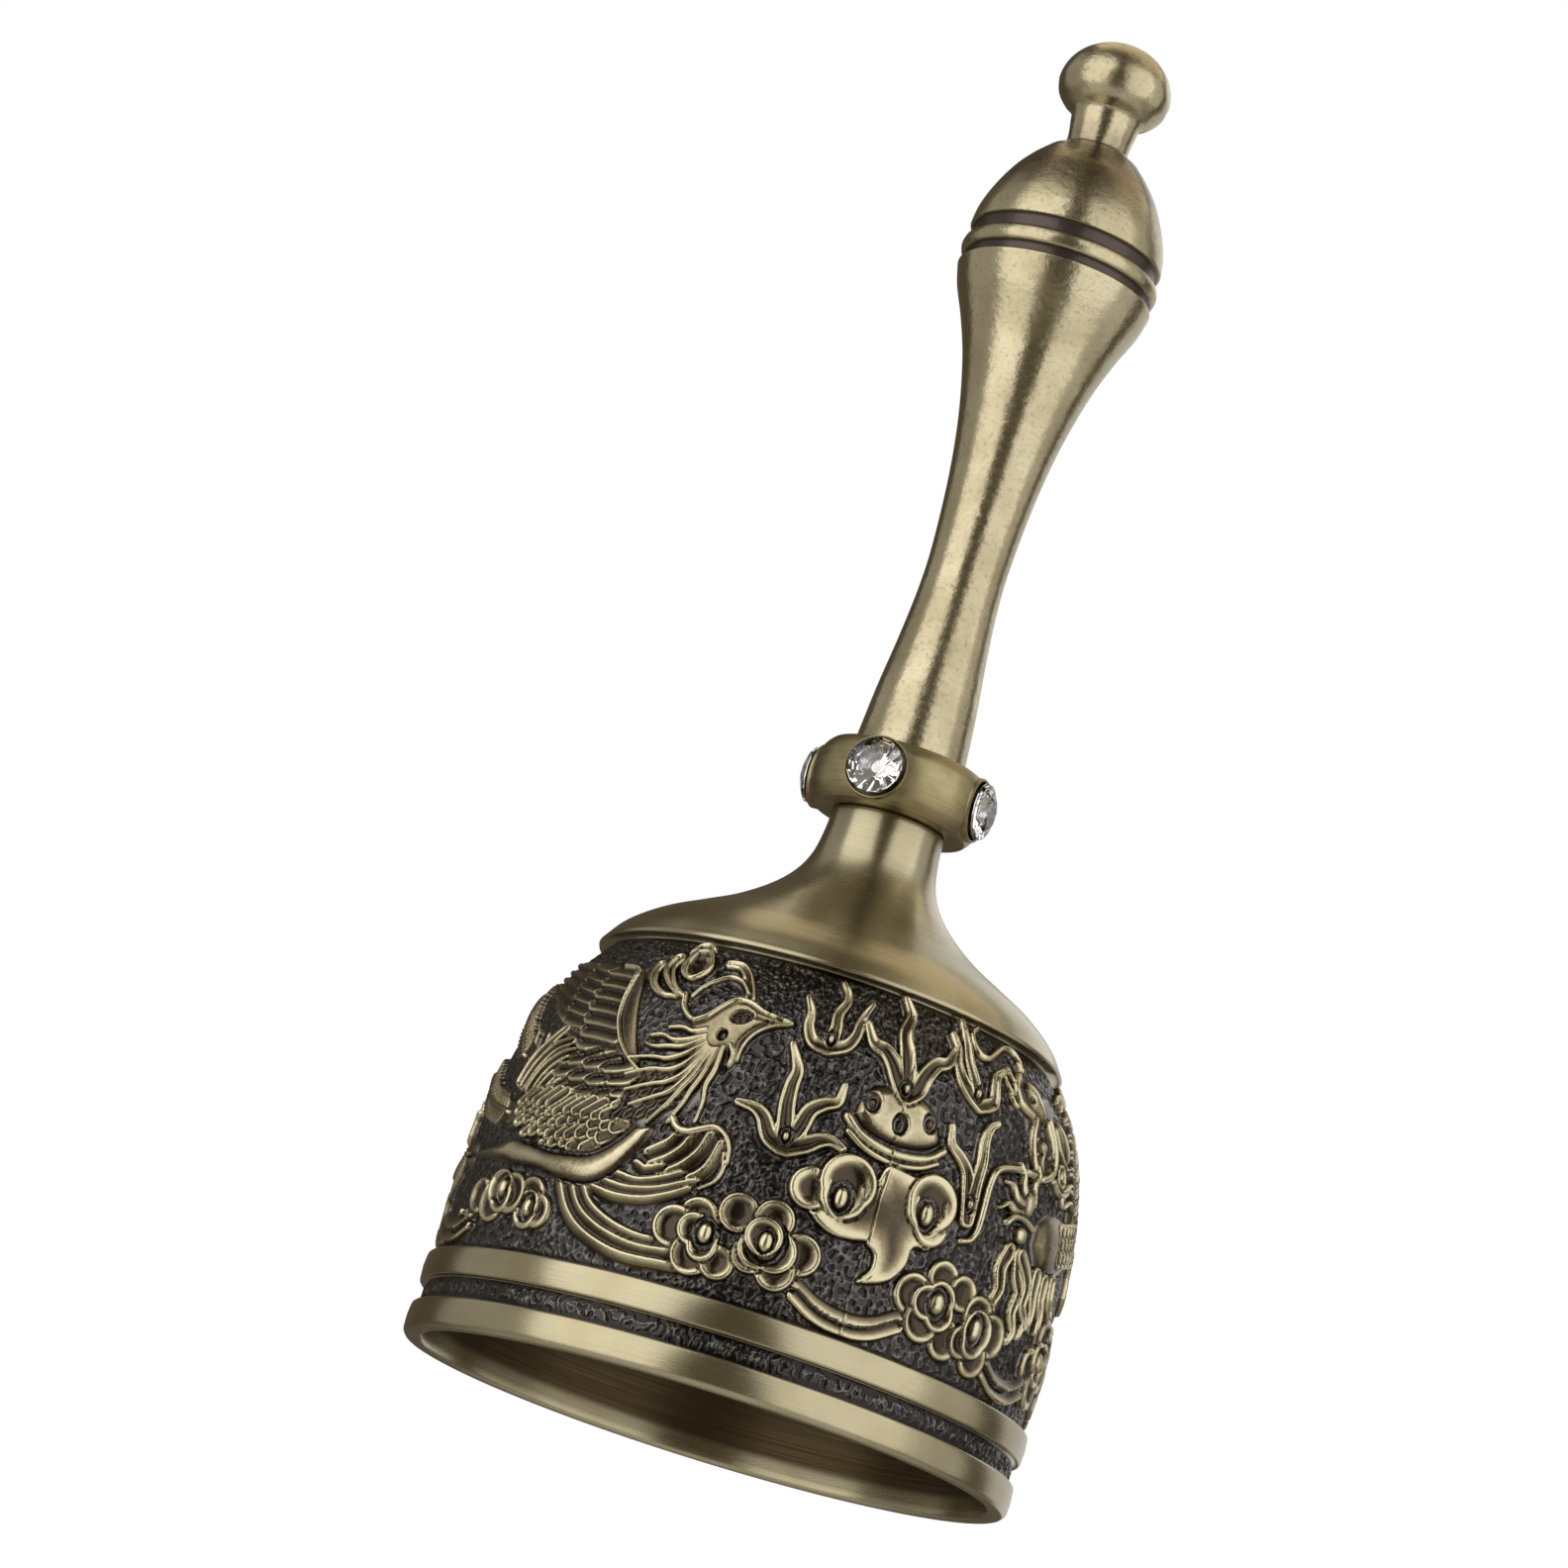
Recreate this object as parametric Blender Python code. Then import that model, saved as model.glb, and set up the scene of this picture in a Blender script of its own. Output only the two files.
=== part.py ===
"""Cast brass hand bell with a turned handle, a jewelled collar and a hanging clapper.

The bell stands on its mouth: the origin is the centre of the rim's underside and +Z
runs up the axis. All lengths below are in millimetres and become metres in the mesh.
"""
import math

import bmesh
import bpy
from mathutils import Matrix, Vector

MM = 0.001
GAP = 0.3            # clearance between pieces that rest on or sit inside each other

# Bell casting
MOUTH_RADIUS = 29.0
RIM_FACE_WIDTH = 1.9
RIM_HEIGHT = 2.9
STRIP_TOP = 5.0      # the sunk strip lies between the rim and the second band
BAND_TOP = 7.65
LIP_HEIGHT = 40.35
LIP_RADIUS = 22.6
CROWN_HEIGHT = 46.8  # inside ceiling, where the washer bears
NECK_TOP = 59.2
NECK_RADIUS = 5.5
BELL_SEGMENTS = 48

# Stud, bores and spigots that line up bell, collar and handle
STUD_RADIUS = 1.9
BORE_RADIUS = STUD_RADIUS + GAP
SPIGOT_RADIUS = 4.6
STUD_TOP = 77.0

# Jewelled collar
COLLAR_BOTTOM = NECK_TOP + GAP
COLLAR_TOP = 65.8
COLLAR_RADIUS = 8.5
STONE_COUNT = 4
STONE_RADIUS = 2.75
BEZEL_RADIUS = 3.1
BEZEL_REACH = 9.0    # distance from the bell axis to the bezel's edge
STONE_SEAT = 6.4
FIRST_STONE_ANGLE = math.radians(-90.0 - 19.4)
STONE_NAMES = ["rhinestone_front", "rhinestone_right", "rhinestone_back", "rhinestone_left"]

# Handle
HANDLE_BOTTOM = COLLAR_TOP + GAP
HANDLE_BORE_TOP = STUD_TOP + 1.0
HANDLE_SEGMENTS = 32
GROOVE_RADIUS = 9.1
FINIAL_RADIUS = 5.6
FINIAL_MIDDLE = 136.4
OVERALL_HEIGHT = 141.2

# Washer and nut under the crown
WASHER_RADIUS = 5.0
WASHER_THICKNESS = 0.8
NUT_ACROSS_FLATS = 7.0
NUT_HEIGHT = 2.9

# Eye, hanger ring and clapper, from the crown downwards
EYE_RING_RADIUS = 2.8
EYE_WIRE = 1.0
EYE_CENTRE = 38.5
HANGER_RING_RADIUS = 3.3
HANGER_WIRE = 0.75
CLAPPER_EYE_RADIUS = 2.1
CLAPPER_WIRE = 0.8
HANG_GAP = 0.2       # daylight between two wires that hang on each other
BALL_RADIUS = 5.6
BALL_CENTRE = 10.2
BALL_BORE = 1.15
ROD_RADIUS = 0.85
ROD_HEAD_RADIUS = 1.7

EYE_PIVOT = EYE_CENTRE - EYE_RING_RADIUS
HANGER_CENTRE = EYE_PIVOT + EYE_WIRE + HANGER_WIRE + HANG_GAP - HANGER_RING_RADIUS
HANGER_PIVOT = HANGER_CENTRE - HANGER_RING_RADIUS
CLAPPER_EYE_CENTRE = (HANGER_PIVOT + HANGER_WIRE + CLAPPER_WIRE + HANG_GAP
                      - CLAPPER_EYE_RADIUS)


# --- helpers ---------------------------------------------------------------

def clear_scene():
    for item in list(bpy.data.objects):
        bpy.data.objects.remove(item, do_unlink=True)


def metal(name, colour, roughness):
    return make_material(name, colour, roughness, 1.0)


def make_material(name, colour, roughness, metallic):
    material = bpy.data.materials.new(name)
    material.use_nodes = True
    shader = material.node_tree.nodes["Principled BSDF"]
    shader.inputs["Base Color"].default_value = (*colour, 1.0)
    shader.inputs["Roughness"].default_value = roughness
    shader.inputs["Metallic"].default_value = metallic
    return material


def through(points, per_span=2):
    """Smooth curve through a few (radius, height) points, as a list of points."""
    ends = [points[0]] + list(points) + [points[-1]]
    curve = []
    for i in range(1, len(ends) - 2):
        a, b, c, d = (Vector(p) for p in ends[i - 1:i + 3])
        for k in range(per_span):
            t = k / per_span
            point = 0.5 * (2 * b + (c - a) * t + (2 * a - 5 * b + 4 * c - d) * t * t
                           + (3 * b - a - 3 * c + d) * t * t * t)
            curve.append(tuple(point))
    curve.append(tuple(points[-1]))
    return curve


def add_object(name, mesh, material):
    mesh.materials.append(material)
    item = bpy.data.objects.new(name, mesh)
    bpy.context.collection.objects.link(item)
    return item


def shade(item, angle=35.0):
    item.data.shade_smooth()
    item.data.set_sharp_from_angle(angle=math.radians(angle))


def mesh_from(bm, name):
    mesh = bpy.data.meshes.new(name)
    bm.to_mesh(mesh)
    bm.free()
    return mesh


def turned(name, outline, material, segments, closed=False, origin_z=0.0):
    """Solid turned about Z from (radius, height) points that run down the outer side."""
    bm = bmesh.new()
    verts = [bm.verts.new((r * MM, 0.0, (z - origin_z) * MM)) for r, z in outline]
    count = len(verts) if closed else len(verts) - 1
    for i in range(count):
        bm.edges.new((verts[i], verts[(i + 1) % len(verts)]))
    item = add_object(name, mesh_from(bm, name), material)
    item.location = (0.0, 0.0, origin_z * MM)
    screw = item.modifiers.new("turn", 'SCREW')
    screw.axis = 'Z'
    screw.steps = segments
    screw.render_steps = segments
    screw.use_merge_vertices = True
    screw.merge_threshold = 0.00001
    return item


def cylinder(name, radius, start, end, axis, material, segments=32):
    """Cylinder whose axis points along `axis`, between two distances from its line."""
    bm = bmesh.new()
    bmesh.ops.create_cone(bm, cap_ends=True, segments=segments, radius1=radius * MM,
                          radius2=radius * MM, depth=(end - start) * MM)
    turn = Vector((0, 0, 1)).rotation_difference(axis).to_matrix().to_4x4()
    shift = Matrix.Translation(axis * (start + end) * 0.5 * MM)
    bmesh.ops.transform(bm, matrix=shift @ turn, verts=bm.verts)
    return add_object(name, mesh_from(bm, name), material)


def wire_ring(name, ring_radius, wire_radius, material, ring_segments=28, wire_segments=10):
    """Torus in the local XZ plane, centred on the object's origin."""
    bm = bmesh.new()
    rows = []
    for i in range(ring_segments):
        a = 2 * math.pi * i / ring_segments
        row = []
        for k in range(wire_segments):
            b = 2 * math.pi * k / wire_segments
            radius = ring_radius + wire_radius * math.cos(b)
            row.append(bm.verts.new((radius * math.cos(a) * MM,
                                     wire_radius * math.sin(b) * MM,
                                     radius * math.sin(a) * MM)))
        rows.append(row)
    for i in range(ring_segments):
        here = rows[i]
        after = rows[(i + 1) % ring_segments]
        for k in range(wire_segments):
            m = (k + 1) % wire_segments
            bm.faces.new((here[k], here[m], after[m], after[k]))
    bmesh.ops.recalc_face_normals(bm, faces=bm.faces)
    return add_object(name, mesh_from(bm, name), material)


def combine(item, cutter, operation):
    """Boolean with a helper object, which stays hidden in the scene."""
    modifier = item.modifiers.new(operation.lower(), 'BOOLEAN')
    modifier.operation = operation
    modifier.object = cutter
    cutter.hide_render = True
    cutter.display_type = 'WIRE'


# --- the pieces ------------------------------------------------------------

def bell_body(material):
    """One casting: rim, two bands, wall, overhanging shoulder, neck and spigot."""
    neck_and_shoulder = through([
        (NECK_RADIUS, NECK_TOP), (5.6, 57.3), (6.1, 54.6), (7.3, 52.3), (9.4, 50.1),
        (12.4, 47.9), (15.6, 46.1), (18.6, 44.4), (21.1, 42.4), (LIP_RADIUS, LIP_HEIGHT)])
    wall = through([
        (22.0, LIP_HEIGHT - 0.25), (24.0, 37.2), (25.9, 33.6), (27.4, 28.2),
        (28.3, 22.0), (28.6, 15.0), (28.45, BAND_TOP + 0.1)])
    rim = [
        (28.85, BAND_TOP), (28.95, 6.4), (28.85, STRIP_TOP),
        (28.4, STRIP_TOP - 0.1), (28.4, RIM_HEIGHT + 0.1),
        (28.9, RIM_HEIGHT), (MOUTH_RADIUS, 1.6), (28.95, 0.4), (28.6, 0.0),
        (MOUTH_RADIUS - RIM_FACE_WIDTH + 0.3, 0.0), (MOUTH_RADIUS - RIM_FACE_WIDTH, 0.3)]
    inside = through([
        (27.0, 3.0), (26.75, 10.0), (26.5, 18.0), (25.5, 26.0), (23.5, 33.0),
        (20.4, 38.6), (16.4, 42.6), (11.6, 45.6), (7.0, CROWN_HEIGHT)], 1)
    spigot = [
        (BORE_RADIUS, CROWN_HEIGHT), (BORE_RADIUS, 61.9),
        (SPIGOT_RADIUS, 61.9), (SPIGOT_RADIUS, NECK_TOP)]
    outline = neck_and_shoulder + wall + rim + inside + spigot
    shade(turned("bell_body", outline, material, BELL_SEGMENTS, closed=True))


def handle(material):
    """Turned casting: flare, waist, swelling top, two grooves round a bead, finial."""
    finial_top = [
        (FINIAL_RADIUS * math.cos(math.radians(a)),
         FINIAL_MIDDLE + (OVERALL_HEIGHT - FINIAL_MIDDLE) * math.sin(math.radians(a)))
        for a in (72, 54, 36, 18, 0)]
    finial = [(0.0, OVERALL_HEIGHT)] + finial_top + [
        (5.3, 135.2), (4.5, 134.2), (3.55, 133.5), (3.3, 132.4), (3.1, 131.0), (3.1, 129.9)]
    dome = through([(4.6, 129.0), (6.1, 127.4), (7.4, 125.6), (8.6, 123.2), (9.35, 121.0),
                    (9.6, 119.2)])
    grooves = [(GROOVE_RADIUS, 119.05), (GROOVE_RADIUS, 117.85),
               (9.65, 117.7), (9.85, 117.0), (9.65, 116.3),
               (GROOVE_RADIUS, 116.15), (GROOVE_RADIUS, 115.35)]
    grip = through([(9.7, 115.2), (9.1, 113.0), (7.85, 110.0), (6.5, 106.0), (5.2, 100.3),
                    (4.35, 94.0), (3.9, 87.0), (3.95, 82.5), (4.35, 77.5), (4.95, 72.0),
                    (5.45, HANDLE_BOTTOM)])
    bottom = [(SPIGOT_RADIUS, HANDLE_BOTTOM), (SPIGOT_RADIUS, 62.2),
              (BORE_RADIUS, 62.2), (BORE_RADIUS, HANDLE_BORE_TOP), (0.0, HANDLE_BORE_TOP)]
    shade(turned("handle", finial + dome + grooves + grip + bottom, material,
                 HANDLE_SEGMENTS))


def stone_directions():
    step = 2 * math.pi / STONE_COUNT
    return [Vector((math.cos(FIRST_STONE_ANGLE + i * step),
                    math.sin(FIRST_STONE_ANGLE + i * step), 0.0))
            for i in range(STONE_COUNT)]


def jewel_collar(material):
    """Barrel ring trapped between the neck and the handle, with four round bezels."""
    middle = 0.5 * (COLLAR_BOTTOM + COLLAR_TOP)
    bore = SPIGOT_RADIUS + GAP
    outline = [(7.3, COLLAR_TOP)] + through([
        (7.6, COLLAR_TOP - 0.2), (8.2, COLLAR_TOP - 1.2), (COLLAR_RADIUS, middle),
        (8.2, COLLAR_BOTTOM + 1.2), (7.6, COLLAR_BOTTOM + 0.2)]) + [
        (7.3, COLLAR_BOTTOM), (bore, COLLAR_BOTTOM), (bore, COLLAR_TOP)]
    ring = turned("jewel_collar", [(r, z - middle) for r, z in outline], material,
                  BELL_SEGMENTS, closed=True)
    ring.location = (0.0, 0.0, middle * MM)
    for i, direction in enumerate(stone_directions()):
        bezel = cylinder(f"bezel_{i}", BEZEL_RADIUS, 6.5, BEZEL_REACH, direction, material)
        bezel.location = ring.location
        combine(ring, bezel, 'UNION')
    for i, direction in enumerate(stone_directions()):
        pocket = cylinder(f"pocket_{i}", STONE_RADIUS + 0.1, STONE_SEAT, 12.0, direction,
                          material)
        pocket.location = ring.location
        combine(ring, pocket, 'DIFFERENCE')
    shade(ring, 30.0)


def rhinestone(name, direction, material):
    """Round cut stone: small table, sloping crown, girdle and a blunt foiled back."""
    outline = [(0.0, 9.75), (1.55, 9.75), (STONE_RADIUS - 0.05, 8.95),
               (STONE_RADIUS - 0.05, 8.75), (0.5, STONE_SEAT + 0.35),
               (0.0, STONE_SEAT + 0.3)]
    stone = turned(name, outline, material, 16)
    stone.rotation_mode = 'QUATERNION'
    stone.rotation_quaternion = Vector((0, 0, 1)).rotation_difference(direction)
    stone.location = (0.0, 0.0, 0.5 * (COLLAR_BOTTOM + COLLAR_TOP) * MM)
    stone.data.shade_flat()


def eye_stud(material):
    """Through stud with a closed eye, which clamps handle, collar and bell together."""
    stud = turned("eye_stud", [
        (0.0, STUD_TOP), (STUD_RADIUS - 0.4, STUD_TOP), (STUD_RADIUS, STUD_TOP - 0.4),
        (STUD_RADIUS, 42.2), (1.2, 41.2), (0.0, 41.2)], material, 20)
    eye = wire_ring("eye_shape", EYE_RING_RADIUS, EYE_WIRE, material)
    eye.location = (0.0, 0.0, EYE_CENTRE * MM)
    combine(stud, eye, 'UNION')
    shade(stud)


def crown_washer(material):
    top = CROWN_HEIGHT - GAP
    bottom = top - WASHER_THICKNESS
    shade(turned("crown_washer", [
        (BORE_RADIUS, top), (WASHER_RADIUS - 0.1, top), (WASHER_RADIUS, top - 0.1),
        (WASHER_RADIUS, bottom), (BORE_RADIUS, bottom)], material, 32, closed=True))


def crown_nut(material):
    """Hexagon nut that draws the stud down against the washer."""
    top = CROWN_HEIGHT - GAP - WASHER_THICKNESS - GAP
    bm = bmesh.new()
    bmesh.ops.create_cone(bm, cap_ends=True, segments=6, depth=NUT_HEIGHT * MM,
                          radius1=NUT_ACROSS_FLATS / math.sqrt(3) * MM,
                          radius2=NUT_ACROSS_FLATS / math.sqrt(3) * MM)
    nut = add_object("crown_nut", mesh_from(bm, "crown_nut"), material)
    nut.location = (0.0, 0.0, (top - NUT_HEIGHT / 2) * MM)
    bore = cylinder("nut_bore", BORE_RADIUS, -5.0, 5.0, Vector((0, 0, 1)), material, 24)
    bore.location = nut.location
    combine(nut, bore, 'DIFFERENCE')
    nut.modifiers.move(0, 0)


def hanger_ring(material):
    """Closed ring that hangs in the eye, at right angles to it."""
    ring = wire_ring("hanger_ring", HANGER_RING_RADIUS, HANGER_WIRE, material)
    turn = Matrix.Rotation(math.pi / 2, 4, 'Z')
    lower = Matrix.Translation((0.0, 0.0, (HANGER_CENTRE - EYE_PIVOT) * MM))
    ring.data.transform(lower @ turn)
    ring.location = (0.0, 0.0, EYE_PIVOT * MM)
    shade(ring)


def clapper_rod(material):
    """Rod with an eye at the top and a peened head that keeps the ball on."""
    eye_bottom = CLAPPER_EYE_CENTRE - CLAPPER_EYE_RADIUS
    ball_bottom = BALL_CENTRE - BALL_RADIUS
    rod = turned("clapper_rod", [
        (0.0, eye_bottom), (ROD_RADIUS, eye_bottom),
        (ROD_RADIUS, ball_bottom - 0.1), (ROD_HEAD_RADIUS, ball_bottom - 0.1),
        (ROD_HEAD_RADIUS, ball_bottom - 0.5), (1.0, ball_bottom - 1.0),
        (0.0, ball_bottom - 1.1)], material, 16, origin_z=HANGER_PIVOT)
    eye = wire_ring("rod_eye_shape", CLAPPER_EYE_RADIUS, CLAPPER_WIRE, material)
    eye.location = (0.0, 0.0, CLAPPER_EYE_CENTRE * MM)
    combine(rod, eye, 'UNION')
    shade(rod)


def clapper_ball(material):
    """Bored ball with small flats where the rod enters and leaves."""
    flat = math.degrees(math.acos((BALL_BORE + 1.0) / BALL_RADIUS))
    steps = 9
    arc = []
    for i in range(steps + 1):
        a = math.radians(flat - 2 * flat * i / steps)
        arc.append((BALL_RADIUS * math.cos(a), BALL_CENTRE + BALL_RADIUS * math.sin(a)))
    outline = ([(BALL_BORE, arc[0][1])] + arc + [(BALL_BORE, arc[-1][1])])
    shade(turned("clapper_ball", outline, material, 28, closed=True,
                 origin_z=HANGER_PIVOT))


def build():
    clear_scene()
    antique_brass = metal("antique_brass", (0.44, 0.36, 0.21), 0.34)
    handle_brass = metal("handle_brass", (0.46, 0.37, 0.22), 0.30)
    collar_brass = metal("collar_brass", (0.36, 0.31, 0.18), 0.42)
    clear_stone = make_material("clear_stone", (0.85, 0.88, 0.92), 0.05, 0.3)
    zinc_steel = metal("zinc_steel", (0.58, 0.57, 0.54), 0.35)
    ring_brass = metal("ring_brass", (0.55, 0.43, 0.22), 0.35)
    rod_brass = metal("rod_brass", (0.52, 0.41, 0.22), 0.38)
    ball_brass = metal("ball_brass", (0.50, 0.40, 0.22), 0.30)

    bell_body(antique_brass)
    handle(handle_brass)
    jewel_collar(collar_brass)
    for name, direction in zip(STONE_NAMES, stone_directions()):
        rhinestone(name, direction, clear_stone)
    eye_stud(zinc_steel)
    crown_washer(zinc_steel)
    crown_nut(zinc_steel)
    hanger_ring(ring_brass)
    clapper_rod(rod_brass)
    clapper_ball(ball_brass)


build()
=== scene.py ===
"""Looks of the cast brass hand bell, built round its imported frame.

Lengths in the shape code are in millimetres, as on a workshop drawing, and become metres
when a mesh is made. The relief is drawn on the skirt unrolled flat: u runs round the bell
at REF_RADIUS, from the front (-Y) towards +X, and v runs up the wall from the second band.
"""
import math

import bmesh
import bpy
import numpy as np
from mathutils import Matrix, Vector

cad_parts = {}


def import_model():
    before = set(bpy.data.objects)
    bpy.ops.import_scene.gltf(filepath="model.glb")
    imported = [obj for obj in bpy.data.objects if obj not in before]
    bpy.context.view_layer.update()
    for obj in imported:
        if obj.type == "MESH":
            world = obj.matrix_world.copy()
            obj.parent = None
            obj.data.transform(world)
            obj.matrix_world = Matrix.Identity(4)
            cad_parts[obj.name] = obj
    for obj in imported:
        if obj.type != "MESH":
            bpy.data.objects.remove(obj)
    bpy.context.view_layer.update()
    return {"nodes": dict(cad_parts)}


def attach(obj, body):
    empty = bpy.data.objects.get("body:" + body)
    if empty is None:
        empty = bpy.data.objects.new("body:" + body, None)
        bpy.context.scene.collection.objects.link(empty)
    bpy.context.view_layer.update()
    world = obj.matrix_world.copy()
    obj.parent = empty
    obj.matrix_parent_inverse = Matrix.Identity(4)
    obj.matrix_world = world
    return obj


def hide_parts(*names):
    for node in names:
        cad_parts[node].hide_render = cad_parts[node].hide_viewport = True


MM = 0.001
TURN = 2 * math.pi

# The skirt, unrolled
REF_RADIUS = 28.5
WALL_LENGTH = 33.9
COLUMNS = 1540
ROWS = 290
STEP_U = TURN * REF_RADIUS / COLUMNS
STEP_V = WALL_LENGTH / (ROWS - 1)
COARSE = 5                   # fine columns to each column of the smooth stretches
RELIEF_DEPTH = 0.95          # ground to the highest ridge
GRAIN = 0.25                 # height of the ground's grains, as a share of the depth
GROUND_INSET = 0.65          # ground below the plain wall of the CAD solid
SEAM_U = 9.25                # the mould's parting line, and its twin half a turn on
SEAM_HEIGHT = 0.16
SEAM_WIDTH = 0.13
EDGE_FADE = 0.5              # stretch over which the relief dies out at foot and lip
HALF_TURN_U = math.pi * REF_RADIUS


# --- curves ----------------------------------------------------------------

def flowing(points, per_span=5):
    """Smooth curve through the given points, each a tuple of two or more numbers."""
    p = np.array(points, float)
    p = np.vstack([2 * p[0] - p[1], p, 2 * p[-1] - p[-2]])
    t = np.arange(per_span)[:, None] / per_span
    spans = []
    for i in range(1, len(p) - 2):
        a, b, c, d = p[i - 1], p[i], p[i + 1], p[i + 2]
        spans.append(0.5 * (2 * b + (c - a) * t + (2 * a - 5 * b + 4 * c - d) * t ** 2
                            + (3 * b - a - 3 * c + d) * t ** 3))
    return np.vstack(spans + [p[-2:-1]])


def length_of(curve):
    return np.linalg.norm(np.diff(curve, axis=0), axis=1).sum()


def at(curve, t):
    """Point, unit direction and unit side a share t of the way along a curve."""
    x = t * (len(curve) - 1)
    i = min(int(x), len(curve) - 2)
    d = curve[i + 1] - curve[i]
    ahead = d / np.linalg.norm(d)
    return curve[i] + d * (x - i), ahead, np.array([-ahead[1], ahead[0]])


def ease(x):
    x = np.clip(x, 0.0, 1.0)
    return x * x * (3 - 2 * x)


def spread_blur(z, cells):
    """Soft average over about `cells` grid steps, wrapping round the bell."""
    reach = int(3 * cells)
    weights = np.exp(-0.5 * (np.arange(-reach, reach + 1) / cells) ** 2)
    weights /= weights.sum()
    wide = np.pad(z, ((reach, reach), (0, 0)), mode="edge")
    rows = sum(w * wide[i:i + z.shape[0]] for i, w in enumerate(weights))
    return sum(w * np.roll(rows, i - reach, axis=1) for i, w in enumerate(weights))


# --- cross-sections of a raised line, x being -1..1 across its width ---------

def bead(x):
    return np.sqrt(np.clip(1 - x * x, 0, 1))


def slab(x):
    side = np.clip((1 - np.abs(x)) / 0.45, 0, 1)
    return side * (2 - side)


def gutter(x):
    """Two bright edges with a trough between them."""
    side = np.clip((1 - np.abs(x)) / 0.36, 0, 1)
    return np.sqrt(side * (2 - side)) * (0.34 + 0.66 * ease((np.abs(x) - 0.1) / 0.5))


def shingle(x):
    """A feather's vane: high along one edge and sloping down to the other."""
    side = np.clip((1 - np.abs(x)) / 0.3, 0, 1)
    return np.sqrt(side * (2 - side)) * (0.66 - 0.34 * x)


def lapped(x):
    return shingle(-x)


def rimmed(gap, rim, floor, edge, fall):
    """Height at a distance in from a dished shape's outline: round rim, then hollow."""
    climb = np.sqrt(np.clip(1 - (1 - gap / edge) ** 2, 0, 1))
    hollow = floor + (rim - floor) * np.exp(-((gap - edge) / fall) ** 2)
    return np.where(gap < edge, rim * climb, hollow)


# --- the relief's drawing surface -------------------------------------------

def pebbles(rows, seed):
    """Heights of the chased ground: thin worm-like ridges that loop round tiny pits."""
    field = np.random.default_rng(seed).standard_normal((rows, COLUMNS))
    field = spread_blur(field, 1.8) - spread_blur(field, 3.0)
    field /= field.std()
    worms = np.exp(-(field / 0.42) ** 2)
    return 0.62 * worms + 0.38 * ease(0.5 + 0.35 * field)


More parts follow.
